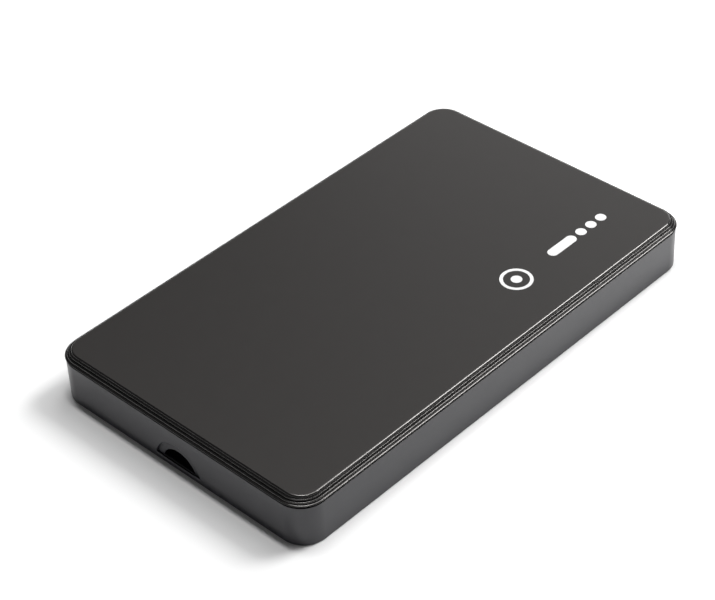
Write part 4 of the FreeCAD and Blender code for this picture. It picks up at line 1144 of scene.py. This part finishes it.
def floor_finish(colour):
    """Floor: diffuse white, with a glow that is seen directly, in gloss and through clear parts alike.

    The glow grows with the distance from the object, and further towards the lit side. That lit side's glow
    is painted light: a pool of painted light on the floor, which the walls show in their gloss as a painted
    reflection. It is nought at the case's foot, so the shadow stays there: it grows with the length of the
    part of a place that lies outside the case's plan.
    """
    material, tree, coords = new_material("floor_finish")
    diffuse = add_node(tree, "BsdfDiffuse", {
        "Color": speckled(tree, coords, colour, FLOOR_CLOUDS, FLOOR_SPREAD),
    })
    path = add_node(tree, "LightPath").outputs
    direct = arithmetic(tree, "ADD", path["Is Camera Ray"], path["Is Transmission Ray"])
    seen = arithmetic(tree, "ADD", direct, path["Is Glossy Ray"], use_clamp=True)
    far = mapped(tree, vector_step(tree, "LENGTH", coords, result="Value"), FAR_GLOW)
    right = vector_step(tree, "DOT_PRODUCT", coords, LIT_SIDE, result="Value")
    # Painted light on the floor's lit side, seen in the walls' gloss as a painted reflection
    lit = mapped(tree, right, LIT_SIDE_PAINTED_LIGHT)
    folded = vector_step(tree, "ABSOLUTE", coords)
    beyond = vector_step(tree, "SUBTRACT", folded, (TRAY_HIGH.x, TRAY_HIGH.y, 0.0))
    outside = vector_step(tree, "MAXIMUM", beyond, (0.0, 0.0, 0.0))
    clear = mapped(tree, vector_step(tree, "LENGTH", outside, result="Value"), {"From Max": FOOT_SHADE})
    level = arithmetic(tree, "MULTIPLY_ADD", lit, clear, far)
    light = add_node(tree, "Emission", {"Strength": arithmetic(tree, "MULTIPLY", seen, level)})
    both = add_node(tree, "AddShader", {0: diffuse.outputs[0], 1: light.outputs[0]})
    return closed_material(material, both)


def add_lamp(name, place, size, watts):
    """Soft rectangular lamp that faces the object, with one size across the case and one along it."""
    light = bpy.data.lights.new(name, "AREA")
    light.shape = "RECTANGLE"
    light.size, light.size_y = size
    light.energy = watts
    lamp = bpy.data.objects.new(name, light)
    away = place.normalized()
    across = (Vector((0, 1, 0)) - away.y * away).normalized()
    turn = Matrix((across, away.cross(across), away)).transposed().to_4x4()
    lamp.matrix_world = Matrix.Translation(place) @ turn
    bpy.context.scene.collection.objects.link(lamp)


def add_camera(stage):
    """Camera turned about the object by azimuth and elevation, then rolled about its own line of sight."""
    flat = math.cos(stage.elevation)
    back = Vector((
        math.sin(stage.azimuth) * flat, -math.cos(stage.azimuth) * flat, math.sin(stage.elevation)
    ))
    right = Vector((0, 0, 1)).cross(back).normalized()
    up = back.cross(right)
    rolled_right = math.cos(stage.roll) * right + math.sin(stage.roll) * up
    rolled_up = math.cos(stage.roll) * up - math.sin(stage.roll) * right
    place = stage.distance * back - stage.aim_right * rolled_right + stage.aim_down * rolled_up
    data = bpy.data.cameras.new("camera")
    data.sensor_width = SENSOR_WIDTH
    data.lens = stage.focal_length / MM
    camera = bpy.data.objects.new("camera", data)
    turn = Matrix((rolled_right, rolled_up, back)).transposed().to_4x4()
    camera.matrix_world = Matrix.Translation(place) @ turn
    bpy.context.scene.collection.objects.link(camera)
    bpy.context.scene.camera = camera


def set_world():
    """World that is pale near the horizon, less so beyond the slot's end, and dim overhead."""
    world = bpy.data.worlds.new("studio")
    bpy.context.scene.world = world
    world.use_nodes = True
    tree = world.node_tree
    tree.nodes.clear()
    coords = add_node(tree, "TexCoord").outputs["Generated"]
    axes = add_node(tree, "SeparateXYZ", {"Vector": coords}).outputs
    low = mapped(tree, axes["Z"], SKY_HEIGHT)
    pale = mapped(tree, axes["X"], SKY_SIDES)
    bright = arithmetic(tree, "MULTIPLY_ADD", low, pale, SKY_BASE)
    sky = add_node(tree, "Background", {"Strength": bright})
    add_node(tree, "OutputWorld", {"Surface": sky.outputs[0]})


class DRIVE_OT_stage(bpy.types.Operator):
    """Adds the floor, the lamps, the world and the camera"""

    bl_idname = "drive.stage"
    bl_label = "Stage"

    def execute(self, context):
        stage = context.scene.drive_stage
        half = FLOOR_SPAN / 2
        square = np.array([(-half, -half, 0.0), (half, -half, 0.0), (half, half, 0.0), (-half, half, 0.0)])
        floor = new_object("floor", (square, [[0, 1, 2, 3]]))
        floor.data.materials.append(floor_finish(stage.floor))
        for name, (place, size) in LAMPS.items():
            add_lamp(name + "_lamp", place, size, getattr(stage, name + "_power"))
        set_world()
        add_camera(stage)
        context.scene.view_settings.view_transform = "Standard"
        return {"FINISHED"}


# Panel and registration

class DRIVE_PT_panel(bpy.types.Panel):
    """Sizes, colours and build steps of the disc drive"""

    bl_idname = "DRIVE_PT_panel"
    bl_label = "Disc Drive"
    bl_space_type = "VIEW_3D"
    bl_region_type = "UI"
    bl_category = "Disc Drive"

    def draw(self, context):
        for name in GROUPS:
            box = self.layout.box()
            group = getattr(context.scene, name)
            for key in group.bl_rna.properties.keys():
                if key not in ("rna_type", "name"):
                    box.prop(group, key)
        for step in STEPS:
            self.layout.operator(step.bl_idname)


GROUPS = {
    "drive_case": CaseSizes,
    "drive_openings": OpeningSizes,
    "drive_marks": MarkSizes,
    "drive_contacts": ContactSizes,
    "drive_screws": ScrewSizes,
    "drive_colours": CaseColours,
    "drive_stage": StageSettings,
}
STEPS = [
    DRIVE_OT_lid_shell, DRIVE_OT_tray_shell, DRIVE_OT_printed_marks, DRIVE_OT_port_contacts,
    DRIVE_OT_screws, DRIVE_OT_case_parts, DRIVE_OT_spindle_parts, DRIVE_OT_arm_parts, DRIVE_OT_stage,
]
CLASSES = list(GROUPS.values()) + STEPS + [DRIVE_PT_panel]


def register():
    """Registers the classes and hangs the property groups on the scene."""
    for made in CLASSES:
        bpy.utils.register_class(made)
    for name, group in GROUPS.items():
        setattr(bpy.types.Scene, name, bpy.props.PointerProperty(type=group))


def unregister():
    """Takes the property groups off the scene and unregisters the classes."""
    for name in GROUPS:
        delattr(bpy.types.Scene, name)
    for made in reversed(CLASSES):
        bpy.utils.unregister_class(made)


def main():
    """Runs every step in order."""
    register()
    for step in STEPS:
        group, name = step.bl_idname.split(".")
        getattr(getattr(bpy.ops, group), name)()


if __name__ == "__main__":
    main()
